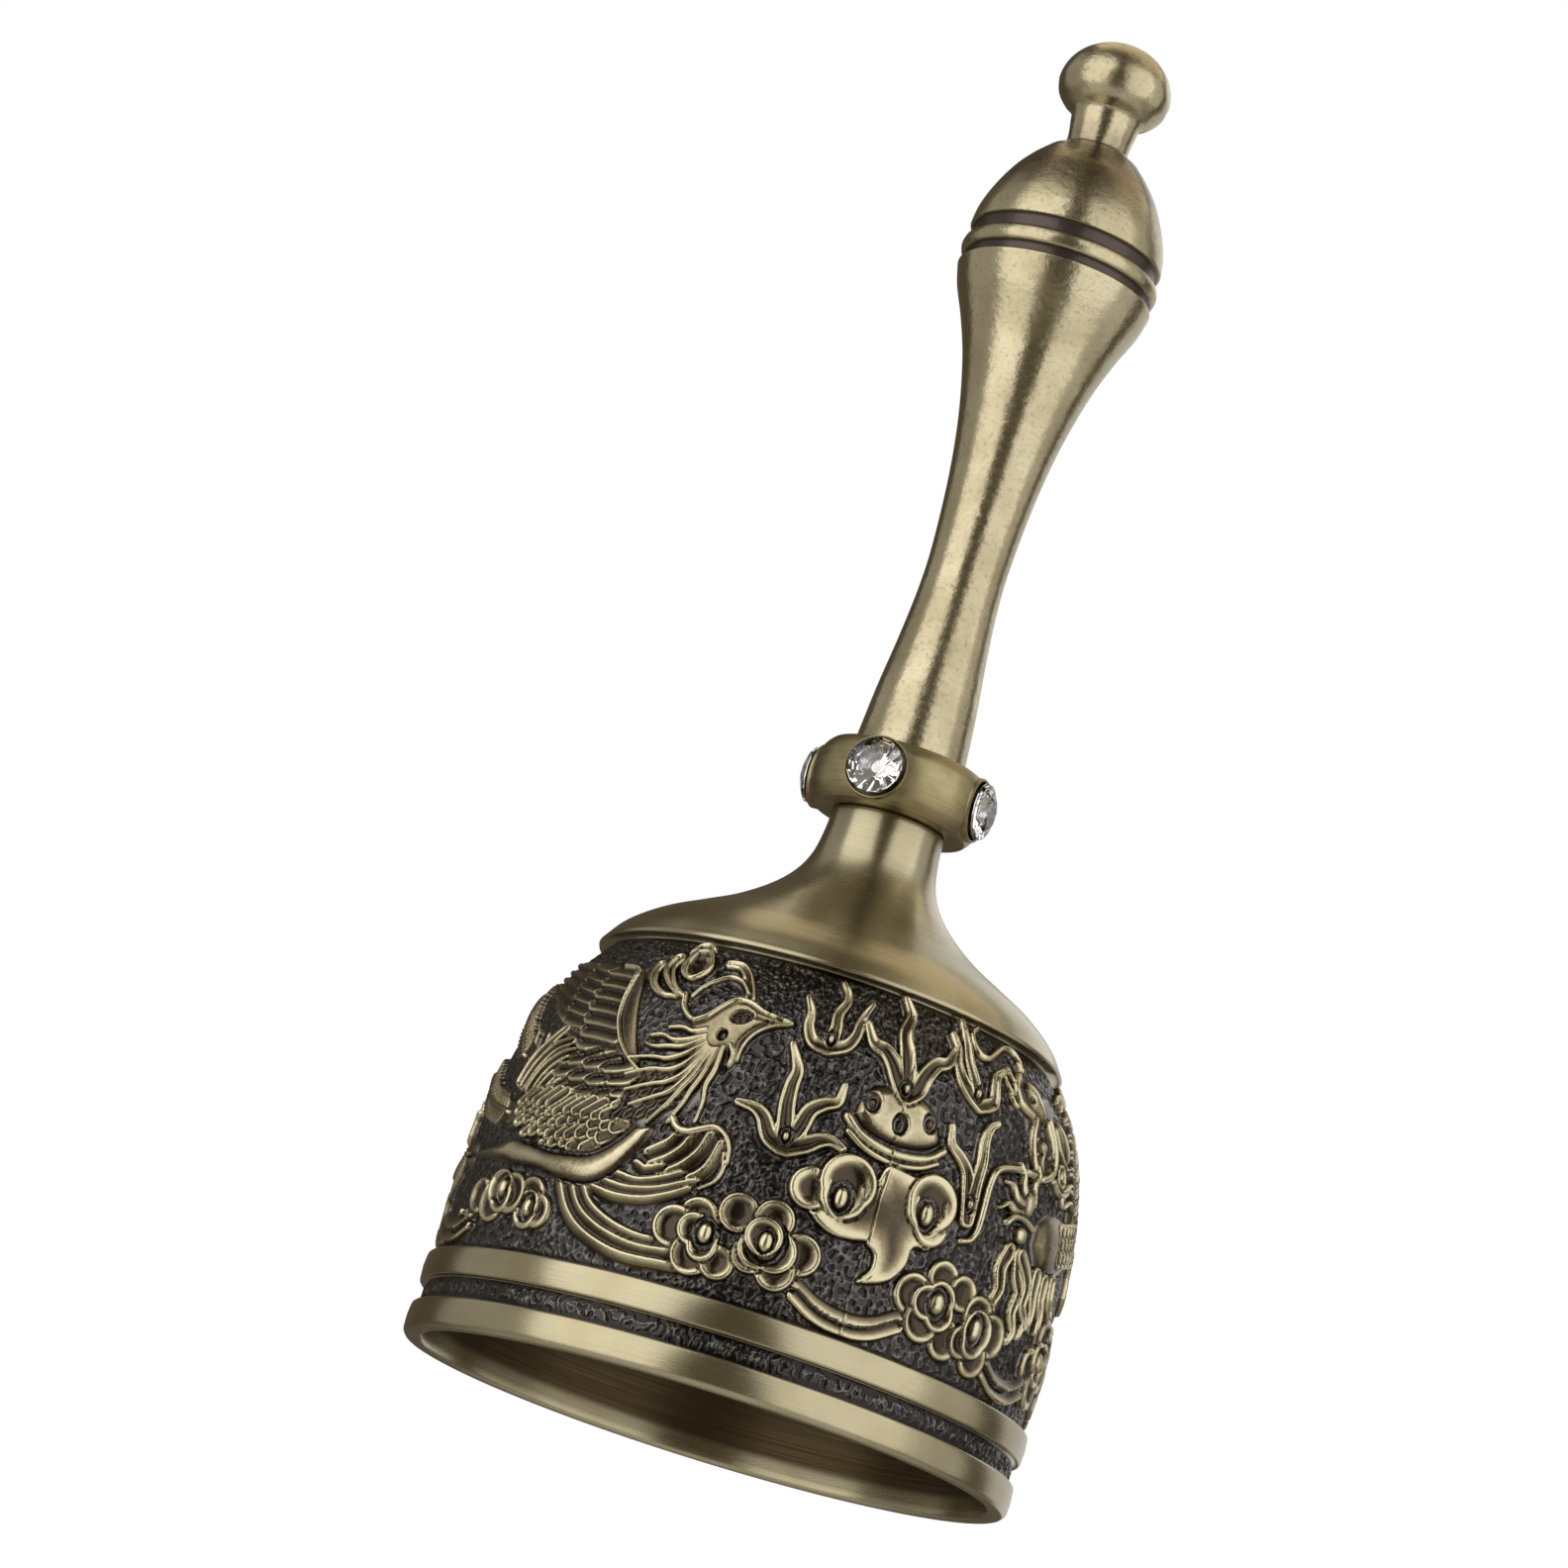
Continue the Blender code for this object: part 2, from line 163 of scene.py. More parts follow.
class Canvas:
    """Height of the relief above its ground, in parts of RELIEF_DEPTH."""

    def __init__(self):
        self.z = GRAIN * pebbles(ROWS, 11)

    def patch(self, low, high):
        """The grid cells of a rectangle, and their u and v."""
        cols = np.arange(math.floor(low[0] / STEP_U), math.ceil(high[0] / STEP_U) + 1)
        rows = np.arange(max(0, math.floor(low[1] / STEP_V)),
                         min(ROWS, math.ceil(high[1] / STEP_V) + 1))
        u, v = np.meshgrid(cols * STEP_U, rows * STEP_V)
        return np.ix_(rows, cols % COLUMNS), u, v

    def put(self, place, inside, height, over):
        """Set the height inside a shape, or only raise it where over is false."""
        old = self.z[place]
        self.z[place] = np.where(inside, height if over else np.maximum(old, height), old)

    def lines(self, routes, width, height, section=bead, over=False, tip=0.35):
        """One raised shape made of tapering lines that share a single outline."""
        curves = [flowing(r) for r in routes]
        every = np.vstack(curves)
        margin = width + 0.3
        place, u, v = self.patch(every.min(0) - margin, every.max(0) + margin)
        best = np.full(u.shape, 9.0)
        signed = np.zeros(u.shape)
        for curve in curves:
            along = np.linspace(0, 1, len(curve))
            widths = width * (1 - (1 - tip) * along ** 1.8)
            for a, b, w in zip(curve[:-1], curve[1:], widths):
                d = b - a
                t = ((u - a[0]) * d[0] + (v - a[1]) * d[1]) / max(d @ d, 1e-9)
                t = np.clip(t, 0, 1)
                du, dv = u - a[0] - t * d[0], v - a[1] - t * d[1]
                x = np.hypot(du, dv) / w
                nearer = x < best
                best = np.where(nearer, x, best)
                signed = np.where(nearer, np.copysign(x, d[0] * dv - d[1] * du), signed)
        self.put(place, best < 1, height * section(np.clip(signed, -1, 1)), over)

    def strokes(self, routes, *shape, **more):
        """Separate raised lines, drawn one after another."""
        for route in routes:
            self.lines([route], *shape, **more)

    def ellipse(self, u0, v0, across, up, tilt):
        """Patch under an ellipse, and distance from its middle as a share of its radius."""
        size = max(across, up)
        place, u, v = self.patch((u0 - size, v0 - size), (u0 + size, v0 + size))
        c, s = math.cos(math.radians(tilt)), math.sin(math.radians(tilt))
        x = ((u - u0) * c + (v - v0) * s) / across
        y = ((v - v0) * c - (u - u0) * s) / up
        return place, np.hypot(x, y)

    def oval(self, u0, v0, across, up, height, tilt=0.0, section=bead):
        """A raised oval, laid over what is there."""
        place, r = self.ellipse(u0, v0, across, up, tilt)
        self.put(place, r < 1, height * section(np.clip(r, 0, 1)), True)

    def channel(self, routes, width, tip, rim=0.97, floor=0.34, edge=0.3, fall=0.34):
        """Tapering lines merged into one shape with a raised rim all round it."""
        curves = [flowing(r) for r in routes]
        every = np.vstack(curves)
        place, u, v = self.patch(every.min(0) - width, every.max(0) + width)
        gap = np.full(u.shape, -9.0)
        for curve in curves:
            widths = width * (1 - (1 - tip) * np.linspace(0, 1, len(curve)) ** 1.5)
            for a, b, w in zip(curve[:-1], curve[1:], widths):
                gap = np.maximum(gap, w - self.away(u, v, a, b))
        self.put(place, gap > 0, rimmed(gap, rim, floor, edge, fall), True)

    @staticmethod
    def away(u, v, a, b):
        """Distance from the points to the segment from a to b."""
        d = b - a
        t = np.clip(((u - a[0]) * d[0] + (v - a[1]) * d[1]) / max(d @ d, 1e-9), 0, 1)
        return np.hypot(u - a[0] - t * d[0], v - a[1] - t * d[1])

    def lobes(self, circles, rim=0.94, floor=0.36, edge=0.36, fall=0.55):
        """A scalloped shape from overlapping circles: dished, with a raised rim."""
        c = np.array(circles, float)
        low = (c[:, :2] - c[:, 2:3]).min(0)
        high = (c[:, :2] + c[:, 2:3]).max(0)
        place, u, v = self.patch(low, high)
        gap = np.max([r - np.hypot(u - cu, v - cv) for cu, cv, r in circles], axis=0)
        self.put(place, gap > 0, rimmed(gap, rim, floor, edge, fall), True)

    def around(self, outline):
        """Patch under a closed outline, distance to the outline, and what is inside."""
        curve = flowing(outline + [outline[0]], 4)
        place, u, v = self.patch(curve.min(0) - 0.2, curve.max(0) + 0.2)
        gap = np.full(u.shape, 99.0)
        crossings = np.zeros(u.shape, int)
        for a, b in zip(curve[:-1], curve[1:]):
            gap = np.minimum(gap, self.away(u, v, a, b))
            if a[1] != b[1]:
                spans = (a[1] > v) != (b[1] > v)
                crossings += spans & (u < a[0] + (v - a[1]) * (b[0] - a[0]) / (b[1] - a[1]))
        return place, gap, crossings % 2 == 1

    def dished(self, outline, rim, floor, edge, fall):
        """A closed shape with a raised rim and a hollow middle."""
        place, gap, inside = self.around(outline)
        self.put(place, inside, rimmed(gap, rim, floor, edge, fall), True)

    def region(self, outline, height, shoulder):
        """A closed shape that rises from its outline over the shoulder's width."""
        place, gap, inside = self.around(outline)
        self.put(place, inside, height * (1 - np.exp(-gap / (0.45 * shoulder))), True)

    def sink(self, u0, v0, across, up, depth, tilt=0.0):
        """A shallow pit, such as an eye's corner or a nostril."""
        place, r = self.ellipse(u0, v0, across, up, tilt)
        self.z[place] -= depth * bead(np.clip(r, 0, 1))


# --- motifs -----------------------------------------------------------------

def flame(art, prongs, seed_at, width, tip=0.5):
    """Licking flame: prongs with raised edges that meet round a small seed."""
    art.channel(prongs, width, rim=0.98, floor=0.50, edge=0.24, fall=0.30, tip=tip)
    u, v = seed_at
    art.oval(u, v, 0.62, 0.85, 0.36, section=slab)
    art.oval(u, v, 0.42, 0.62, 0.97)


def blossom(art, u, v, size, flip):
    """Flower-shaped cloud: outer petals, an inner ring and a bright oval heart."""
    petals = [(-2.6, 0.5, 2.0), (-0.6, 2.5, 1.8), (2.3, 1.6, 1.9), (2.5, -1.1, 1.9),
              (0.4, -2.6, 1.8), (-1.9, -1.9, 1.7)]
    ring = [(-0.9, 0.5, 1.6), (0.8, 0.7, 1.6), (0.1, -0.9, 1.7)]
    placed = [[(u + flip * pu * size, v + pv * size, r * size) for pu, pv, r in group]
              for group in (petals, ring)]
    flower_cloud(art, placed[0], placed[1], (u, v + 0.1, 0.75 * size, 1.1 * size))


def phoenix_head(art):
    # swirl of cloud behind the crest
    art.channel([[(-20.0, 29.6), (-19.8, 28.2), (-18.8, 26.9), (-17.3, 26.2), (-15.7, 26.2)]],
                0.62, tip=0.45)
    art.channel([[(-18.4, 30.6), (-18.5, 29.2), (-17.6, 28.0), (-16.4, 27.0), (-14.9, 26.3)]],
                0.85, tip=0.35, fall=0.4)
    art.lobes([(-16.3, 32.0, 1.65)])
    art.lobes([(-15.7, 30.2, 1.95), (-15.9, 31.0, 1.7)])
    art.lines([[(-16.9, 31.6), (-16.9, 30.2), (-16.2, 28.8), (-15.3, 28.5), (-14.6, 29.2),
                (-14.6, 30.4), (-15.2, 31.2)]], 0.34, 1.0, tip=0.7)
    # crest plumes
    art.channel([[(-8.2, 27.7), (-8.9, 29.1), (-9.9, 30.5), (-11.0, 31.2), (-12.3, 31.1)]],
                0.62, edge=0.22, fall=0.25, tip=0.85)
    art.lines([[(-8.6, 28.2), (-9.8, 29.4), (-11.2, 29.7), (-12.5, 28.9), (-13.5, 27.8),
                (-14.1, 26.5)]], 0.32, 0.85, over=True, tip=0.6)
    art.region([(-13.9, 24.3), (-12.9, 23.9), (-11.6, 24.6), (-10.5, 26.1), (-9.3, 27.3),
                (-7.9, 27.5), (-6.6, 26.8), (-4.9, 26.5), (-2.7, 26.2), (-4.7, 25.5),
                (-6.1, 24.5), (-7.0, 23.0), (-6.9, 21.3), (-7.6, 20.0), (-8.1, 21.2),
                (-8.7, 22.0), (-9.6, 20.8), (-10.8, 21.0), (-12.2, 21.6), (-12.3, 22.8)],
               0.84, shoulder=0.5)
    art.lines([[(-14.9, 26.6), (-14.3, 25.2), (-12.8, 24.2), (-11.4, 24.8)]], 0.4, 0.95,
              tip=0.9)
    art.lines([[(-12.6, 24.1), (-11.4, 24.9), (-10.3, 26.3), (-9.2, 27.2), (-7.7, 27.2),
                (-6.0, 26.6), (-3.2, 26.3)]], 0.3, 1.04)
    art.lines([[(-3.2, 26.1), (-4.9, 25.4), (-6.2, 24.3), (-6.9, 22.9), (-7.0, 21.2)]],
              0.24, 1.0, tip=0.9)
    art.lines([[(-6.7, 25.7), (-5.4, 25.8), (-4.2, 26.0)]], 0.12, 0.5, over=True)
    art.sink(-8.1, 25.5, 1.15, 0.72, 0.62, 22)
    art.oval(-8.1, 25.5, 0.85, 0.42, 0.82, 22)
    art.sink(-8.1, 25.5, 0.34, 0.3, 0.4)
    art.sink(-9.25, 23.3, 0.46, 0.6, 0.7)
    art.lines([[(-8.2, 22.6), (-7.6, 21.6), (-7.7, 20.5)]], 0.3, 1.0)


def phoenix_neck(art):
    """Breast feathers under the hackles."""
    art.region([(-8.4, 22.6), (-12.0, 23.4), (-14.2, 21.6), (-15.0, 18.6), (-16.6, 15.4),
                (-14.0, 13.0), (-11.6, 14.4), (-9.6, 15.4), (-8.6, 17.6)], 0.26, shoulder=0.8)
    for row in range(5):
        for k in range(4):
            u = -16.2 + 1.15 * k + 0.42 * row + 0.2 * (row % 2)
            v = 14.2 + 1.15 * row + 0.28 * k
            art.lines([[(u + 1.1, v + 0.9), (u, v), (u - 0.5, v - 0.5)]], 0.55, 0.62, lapped,
                      over=True, tip=0.9)


def hackles(art):
    """Wavy locks that flow out of the head over the wing and the breast."""
    locks = [
        [(-10.9, 23.5), (-12.2, 23.0), (-13.3, 23.2), (-14.8, 22.9)],
        [(-10.7, 22.9), (-12.4, 22.1), (-13.8, 21.8), (-15.0, 22.1), (-16.3, 21.8)],
        [(-10.6, 22.6), (-12.4, 21.4), (-14.0, 21.1), (-15.4, 20.8), (-16.5, 21.0)],
        [(-10.4, 22.2), (-12.0, 20.7), (-13.6, 19.9), (-15.0, 19.8), (-17.6, 19.3)],
        [(-10.2, 22.0), (-11.6, 19.8), (-13.0, 18.9), (-14.8, 18.6), (-17.2, 17.6)],
        [(-10.0, 21.8), (-11.3, 19.0), (-12.6, 17.8), (-14.2, 17.2), (-16.6, 16.2)],
        [(-9.8, 21.8), (-10.9, 18.8), (-12.0, 17.0), (-13.4, 16.1), (-15.6, 14.9)],
        [(-9.5, 21.8), (-10.3, 19.0), (-11.2, 17.1), (-11.9, 15.7), (-13.2, 13.6)],
        [(-9.2, 21.9), (-9.6, 19.2), (-10.2, 17.3), (-10.5, 16.0), (-11.3, 14.0)],
        [(-8.7, 22.2), (-8.7, 19.9), (-9.0, 18.2), (-8.7, 16.6), (-8.8, 14.6)]]
    art.strokes(locks, 0.42, 0.96, tip=0.4)


def phoenix_wings(art):
    primaries = [
        [(-23.5, 20.2), (-26.0, 21.0), (-29.5, 22.8)],
        [(-23.5, 21.4), (-28.0, 22.4), (-32.5, 24.4)],
        [(-23.5, 22.8), (-29.0, 23.9), (-34.5, 25.6)],
        [(-23.5, 24.1), (-29.0, 25.1), (-35.5, 26.8)],
        [(-23.5, 25.4), (-29.0, 26.3), (-36.5, 27.9)],
        [(-23.5, 26.7), (-29.0, 27.5), (-37.0, 29.0)],
        [(-23.5, 28.0), (-29.0, 28.8), (-37.5, 30.1)]]
    art.strokes(primaries, 0.92, 0.74, lapped, over=True, tip=0.6)
    middle = [(-23.6, 21.9), (-23.9, 23.2), (-24.2, 24.5), (-24.5, 25.8), (-24.7, 27.1),
              (-24.8, 28.4)]
    for u, v in middle:
        art.lines([[(u, v), (u - 2.6, v + 0.35), (u - 5.0, v + 0.75)]], 0.84, 0.86, lapped,
                  over=True, tip=0.85)
    thigh = [
        [(-31.2, 16.0), (-30.4, 18.2), (-28.8, 20.0), (-27.4, 21.4)],
        [(-30.2, 15.6), (-29.3, 17.6), (-27.6, 19.4), (-25.4, 20.2)],
        [(-28.8, 15.2), (-27.9, 17.0), (-26.2, 18.5), (-24.2, 19.2)],
        [(-27.2, 14.8), (-26.2, 16.3), (-24.8, 17.5), (-23.2, 17.9)],
        [(-25.6, 14.6), (-24.6, 15.8), (-23.2, 16.6), (-22.0, 16.8)]]
    art.strokes(thigh, 0.85, 0.85, gutter, over=True, tip=0.55)
    coverts = [(-19.6, 19.7), (-20.0, 21.0), (-20.5, 22.4), (-20.9, 23.8), (-21.2, 25.2),
               (-21.4, 26.6), (-21.6, 28.0)]
    for u, v in coverts:
        art.lines([[(u, v), (u - 2.2, v + 0.2), (u - 4.3, v + 0.3)]], 0.84, 0.98, lapped,
                  over=True, tip=0.92)
    lower = [(-23.2, 14.4), (-21.2, 14.0), (-18.9, 14.3), (-16.6, 14.7),
             (-22.3, 15.6), (-20.0, 15.4), (-17.8, 15.5), (-16.0, 15.9),
             (-24.0, 17.1), (-21.6, 16.9), (-19.2, 16.7), (-17.0, 17.0),
             (-22.8, 18.4), (-20.4, 18.2), (-18.0, 18.1)]
    for u, v in lower:
        art.lines([[(u + 1.5, v + 0.75), (u, v + 0.15), (u - 1.5, v - 0.15)]],
                  0.74, 0.96, lapped, over=True, tip=0.85)
    art.region([(-22.4, 28.6), (-21.4, 29.0), (-20.3, 27.2), (-19.4, 25.0), (-18.4, 22.9),
                (-17.3, 20.8), (-15.7, 18.3), (-17.8, 19.3), (-19.6, 20.8), (-20.9, 22.8),
                (-21.5, 24.6), (-21.8, 26.4)], 0.58, shoulder=0.3)
    art.lines([[(-24.6, 28.9), (-22.4, 28.6), (-21.8, 26.9), (-21.4, 24.8), (-20.7, 22.8),
                (-19.4, 20.9), (-17.8, 19.4), (-15.8, 18.2)]], 0.38, 1.04, tip=0.6)
    # the near leg's fan of feathers and the curl above it
    fingers = [
        [(-9.6, 13.3), (-10.3, 12.2), (-11.9, 11.0)],
        [(-8.2, 13.7), (-8.7, 12.2), (-9.8, 10.9), (-11.3, 9.9)],
        [(-6.8, 13.7), (-7.3, 12.0), (-8.5, 10.4), (-10.2, 9.2)],
        [(-5.6, 13.2), (-6.0, 11.3), (-6.9, 9.9), (-8.6, 8.8)]]
    art.strokes(fingers, 0.72, 0.98, shingle, over=True, tip=0.9)
    art.lines([[(-5.3, 12.6), (-5.0, 11.2), (-5.4, 9.9), (-6.6, 8.9)]], 0.36, 0.9, over=True)
    art.lines([[(-11.1, 14.9), (-10.3, 13.9), (-9.2, 13.7), (-8.0, 14.2), (-6.8, 14.7),
                (-5.7, 14.2), (-5.0, 13.1), (-4.8, 11.8)]], 0.52, 1.02, over=True, tip=0.5)


def scale_field(art, rows):
    """Rows of overlapping feather scales that lean forward, the lowest row first."""
    for start, end, count, size in rows:
        for i in range(count):
            t = i / max(count - 1, 1)
            grown = size * (0.8 + 0.4 * t) * (1 + 0.1 * math.sin(3.7 * i + 9 * size))
            u = start[0] + (end[0] - start[0]) * t
            v = start[1] + (end[1] - start[1]) * t + 0.2 * math.sin(5.1 * i + 3 * size)
            art.channel([[(u + 1.2 * grown, v + 0.9 * grown), (u, v),
                          (u - 0.5 * grown, v - 0.3 * grown)]], 0.66 * grown, rim=0.95,
                        floor=0.6, edge=0.17, fall=0.16, tip=0.9)


def phoenix_body(art):
    art.region([(-30.0, 14.4), (-29.0, 11.6), (-25.0, 10.2), (-19.0, 9.9), (-15.6, 12.2),
                (-13.6, 13.8), (-15.8, 15.2), (-21.0, 14.8), (-26.0, 15.2)], 0.34,
               shoulder=0.6)
    scale_field(art, [
        ((-23.4, 10.2), (-18.0, 10.7), 5, 1.05), ((-26.6, 11.0), (-16.4, 11.9), 9, 1.05),
        ((-28.2, 12.0), (-15.4, 13.1), 11, 1.0), ((-28.8, 13.0), (-14.6, 14.0), 13, 0.95),
        ((-28.9, 13.9), (-24.2, 14.3), 5, 0.95), ((-16.6, 14.7), (-14.2, 15.1), 3, 0.9)])
    ribs = [
        [(-12.8, 9.7), (-11.8, 9.4), (-10.4, 10.0)],
        [(-14.4, 8.4), (-12.2, 8.2), (-9.8, 9.0), (-8.4, 9.8)],
        [(-15.6, 7.5), (-13.0, 7.3), (-10.4, 7.8), (-8.2, 8.8), (-7.0, 9.4)],
        [(-16.8, 6.8), (-14.0, 6.4), (-11.2, 6.7), (-8.8, 7.7), (-7.4, 8.6)]]
    art.strokes(ribs, 0.56, 0.95, lapped, over=True, tip=0.7)
    trail = [
        [(-18.0, 7.2), (-16.5, 5.4), (-14.6, 4.3), (-12.4, 3.6), (-10.0, 3.3), (-7.4, 3.6)],
        [(-19.2, 7.2), (-17.6, 4.9), (-15.4, 3.5), (-12.8, 2.7), (-10.2, 2.4), (-7.0, 2.7)],
        [(-20.6, 7.2), (-18.9, 4.6), (-16.8, 2.9), (-14.0, 1.8), (-11.0, 1.35), (-6.6, 1.6)]]
    art.strokes(trail, 0.66, 1.0, lapped, over=True, tip=0.85)
    art.region([(-40.0, 8.8), (-35.0, 8.6), (-30.0, 8.1), (-27.0, 7.7), (-24.0, 7.6),
                (-21.0, 7.0), (-18.6, 6.8), (-16.6, 7.2), (-14.8, 8.5), (-13.5, 10.2),
                (-12.5, 11.8), (-12.1, 13.2), (-12.9, 13.7), (-14.2, 13.4),
                (-15.2, 12.2), (-16.6, 10.8), (-18.2, 9.9), (-20.4, 9.7), (-23.0, 9.7),
                (-26.0, 10.2), (-28.6, 10.6), (-31.0, 9.9), (-35.0, 9.4)],
               0.98, shoulder=1.1)


def pearl_and_cloud(art):
    """The flaming pearl and the two-lobed ruyi cloud that carries it."""
    art.region([(4.6, 19.7), (5.0, 21.4), (6.2, 23.0), (8.0, 23.6), (9.2, 23.3),
                (10.4, 23.6), (12.2, 23.0), (13.4, 21.4), (13.9, 19.7), (12.2, 18.5),
                (9.25, 18.0), (6.2, 18.5)], 0.96, shoulder=1.2)
    for u in (6.25, 12.2):
        art.sink(u, 21.2, 0.8, 1.05, 0.75)
        art.oval(u + 0.1, 21.2, 0.42, 0.66, 0.6)
    art.sink(9.25, 20.1, 0.8, 1.1, 0.85)
    art.oval(9.25, 20.1, 0.36, 0.6, 0.45)
    flame(art, [[(9.2, 22.9), (9.1, 24.6), (8.6, 26.9), (8.2, 29.2), (8.7, 31.4), (8.0, 33.3)],
                [(9.2, 22.9), (8.2, 24.2), (7.3, 25.6), (6.3, 26.5), (5.0, 26.9), (4.1, 28.6)],
                [(9.2, 22.9), (10.3, 23.9), (11.0, 25.6), (12.0, 27.0), (13.2, 27.6),
                 (14.0, 29.2)]], (9.2, 23.6), 1.08, 0.46)
    art.lines([[(4.3, 19.2), (6.0, 17.9), (9.25, 17.3), (12.5, 17.9), (14.2, 19.2)]],
              0.58, 1.0, over=True, tip=0.9)
    art.lines([[(4.7, 17.9), (6.6, 16.85), (9.25, 16.4), (11.9, 16.85), (13.8, 17.9)]],
              0.42, 0.92, over=True, tip=0.9)
    art.dished([(3.3, 13.7), (4.1, 15.4), (5.5, 16.25), (7.2, 15.9), (8.3, 14.6),
                (9.0, 16.2), (11.0, 16.2), (12.0, 16.2), (13.4, 17.2), (15.1, 17.2),
                (16.5, 16.2), (17.0, 14.6), (16.3, 13.0), (16.1, 11.5), (15.2, 10.2),
                (13.6, 9.8), (13.4, 8.2), (12.5, 6.6), (11.2, 5.7), (9.3, 5.2),
                (10.0, 6.2), (10.1, 7.6), (9.3, 8.8), (7.6, 8.5), (5.8, 8.4), (4.2, 9.0),
                (3.0, 9.9), (1.6, 10.2), (0.8, 11.6), (1.2, 13.2), (2.3, 13.9)],
               rim=0.98, floor=0.58, edge=0.38, fall=1.5)
    art.lobes([(2.9, 11.9, 2.1)], rim=0.98, edge=0.42, floor=0.42, fall=0.8)
    art.lobes([(6.0, 13.4, 2.8), (5.9, 12.2, 2.35)], rim=0.98, floor=0.36, edge=0.42,
              fall=0.9)
    art.lobes([(14.7, 12.2, 1.9)], rim=0.98, edge=0.42, floor=0.4, fall=0.8)
    art.lobes([(14.3, 14.4, 2.75), (13.9, 13.6, 2.2)], rim=0.98, floor=0.36, edge=0.42,
              fall=0.9)
    for u, v in ((5.75, 11.9), (14.1, 13.2)):
        art.lines([[(u - 1.35, v + 1.2), (u - 1.55, v - 0.2), (u - 1.0, v - 1.5),
                    (u + 0.3, v - 1.9), (u + 1.3, v - 1.2), (u + 1.75, v + 0.1),
                    (u + 1.6, v + 1.5)]], 0.28, 0.86, tip=0.6)
        art.oval(u, v, 1.15, 1.6, 0.36, section=slab)
        art.oval(u, v, 0.8, 1.25, 1.0)
    art.lines([[(9.3, 8.9), (10.2, 8.2), (10.3, 6.8), (9.4, 5.4)]], 0.36, 1.0, tip=0.7)


def flames(art):
    flame(art, [[(0.6, 24.8), (-0.8, 25.1), (-1.6, 26.4), (-1.8, 28.0), (-2.6, 29.5)],
                [(0.9, 24.9), (1.0, 27.0), (0.9, 28.7), (1.4, 30.2), (1.3, 31.4), (0.6, 32.4)],
                [(0.9, 24.8), (2.4, 25.6), (3.1, 26.9), (3.3, 28.5), (3.6, 29.7), (4.2, 31.0)]],
          (0.85, 25.9), 0.78)
    flame(art, [[(-0.6, 14.8), (-0.9, 16.6), (-1.3, 18.6), (-1.4, 20.4), (-1.3, 21.8),
                 (-1.8, 23.0), (-2.5, 24.2)],
                [(-0.7, 14.7), (-2.0, 15.3), (-3.0, 16.8), (-4.0, 17.4), (-5.6, 17.5)],
                [(-0.4, 14.8), (0.4, 16.8), (0.9, 18.6), (2.0, 19.6), (3.1, 20.2),
                 (3.3, 21.8)],
                [(-0.2, 14.7), (1.4, 15.5), (2.4, 16.2), (3.4, 16.5), (4.7, 16.1)]],
          (-0.55, 15.7), 0.98, 0.42)
    flame(art, [[(17.6, 24.8), (16.2, 25.6), (15.0, 26.8), (14.5, 28.2), (14.6, 29.8),
                 (14.0, 31.2)],
                [(17.4, 25.0), (16.6, 27.0), (16.0, 28.8), (15.9, 30.6), (15.7, 32.0),
                 (15.4, 33.4)],
                [(17.6, 24.8), (19.2, 25.6), (19.5, 27.2), (19.9, 28.6), (21.1, 29.5)]],
          (17.3, 26.0), 0.82)
    flame(art, [[(18.2, 14.2), (17.7, 16.4), (17.2, 18.2), (16.2, 19.3), (14.9, 20.2),
                 (14.6, 21.8)],
                [(18.3, 14.2), (18.4, 17.6), (18.7, 19.8), (18.7, 21.8), (19.2, 23.2),
                 (20.1, 23.9)]],
          (18.3, 15.7), 0.82)


def flower_cloud(art, petals, ring, heart):
    """Petals first, then the scalloped ring that overlaps them, then the oval heart."""
    for petal in petals:
        art.lobes([petal], rim=0.80, floor=0.34)
    art.lobes(ring, rim=0.89, floor=0.38, edge=0.34, fall=0.45)
    u, v, across, up = heart
    art.oval(u, v, across + 0.34, up + 0.34, 0.36, section=slab)
    art.oval(u, v, across, up, 1.0)


def ribbon(art, points):
    """Two parallel bands that swing below the clouds."""
    for offset in (0.0, -1.15):
        art.lines([[(u, v + offset) for u, v in points]], 0.66, 0.97, shingle, over=True,
                  tip=0.95)


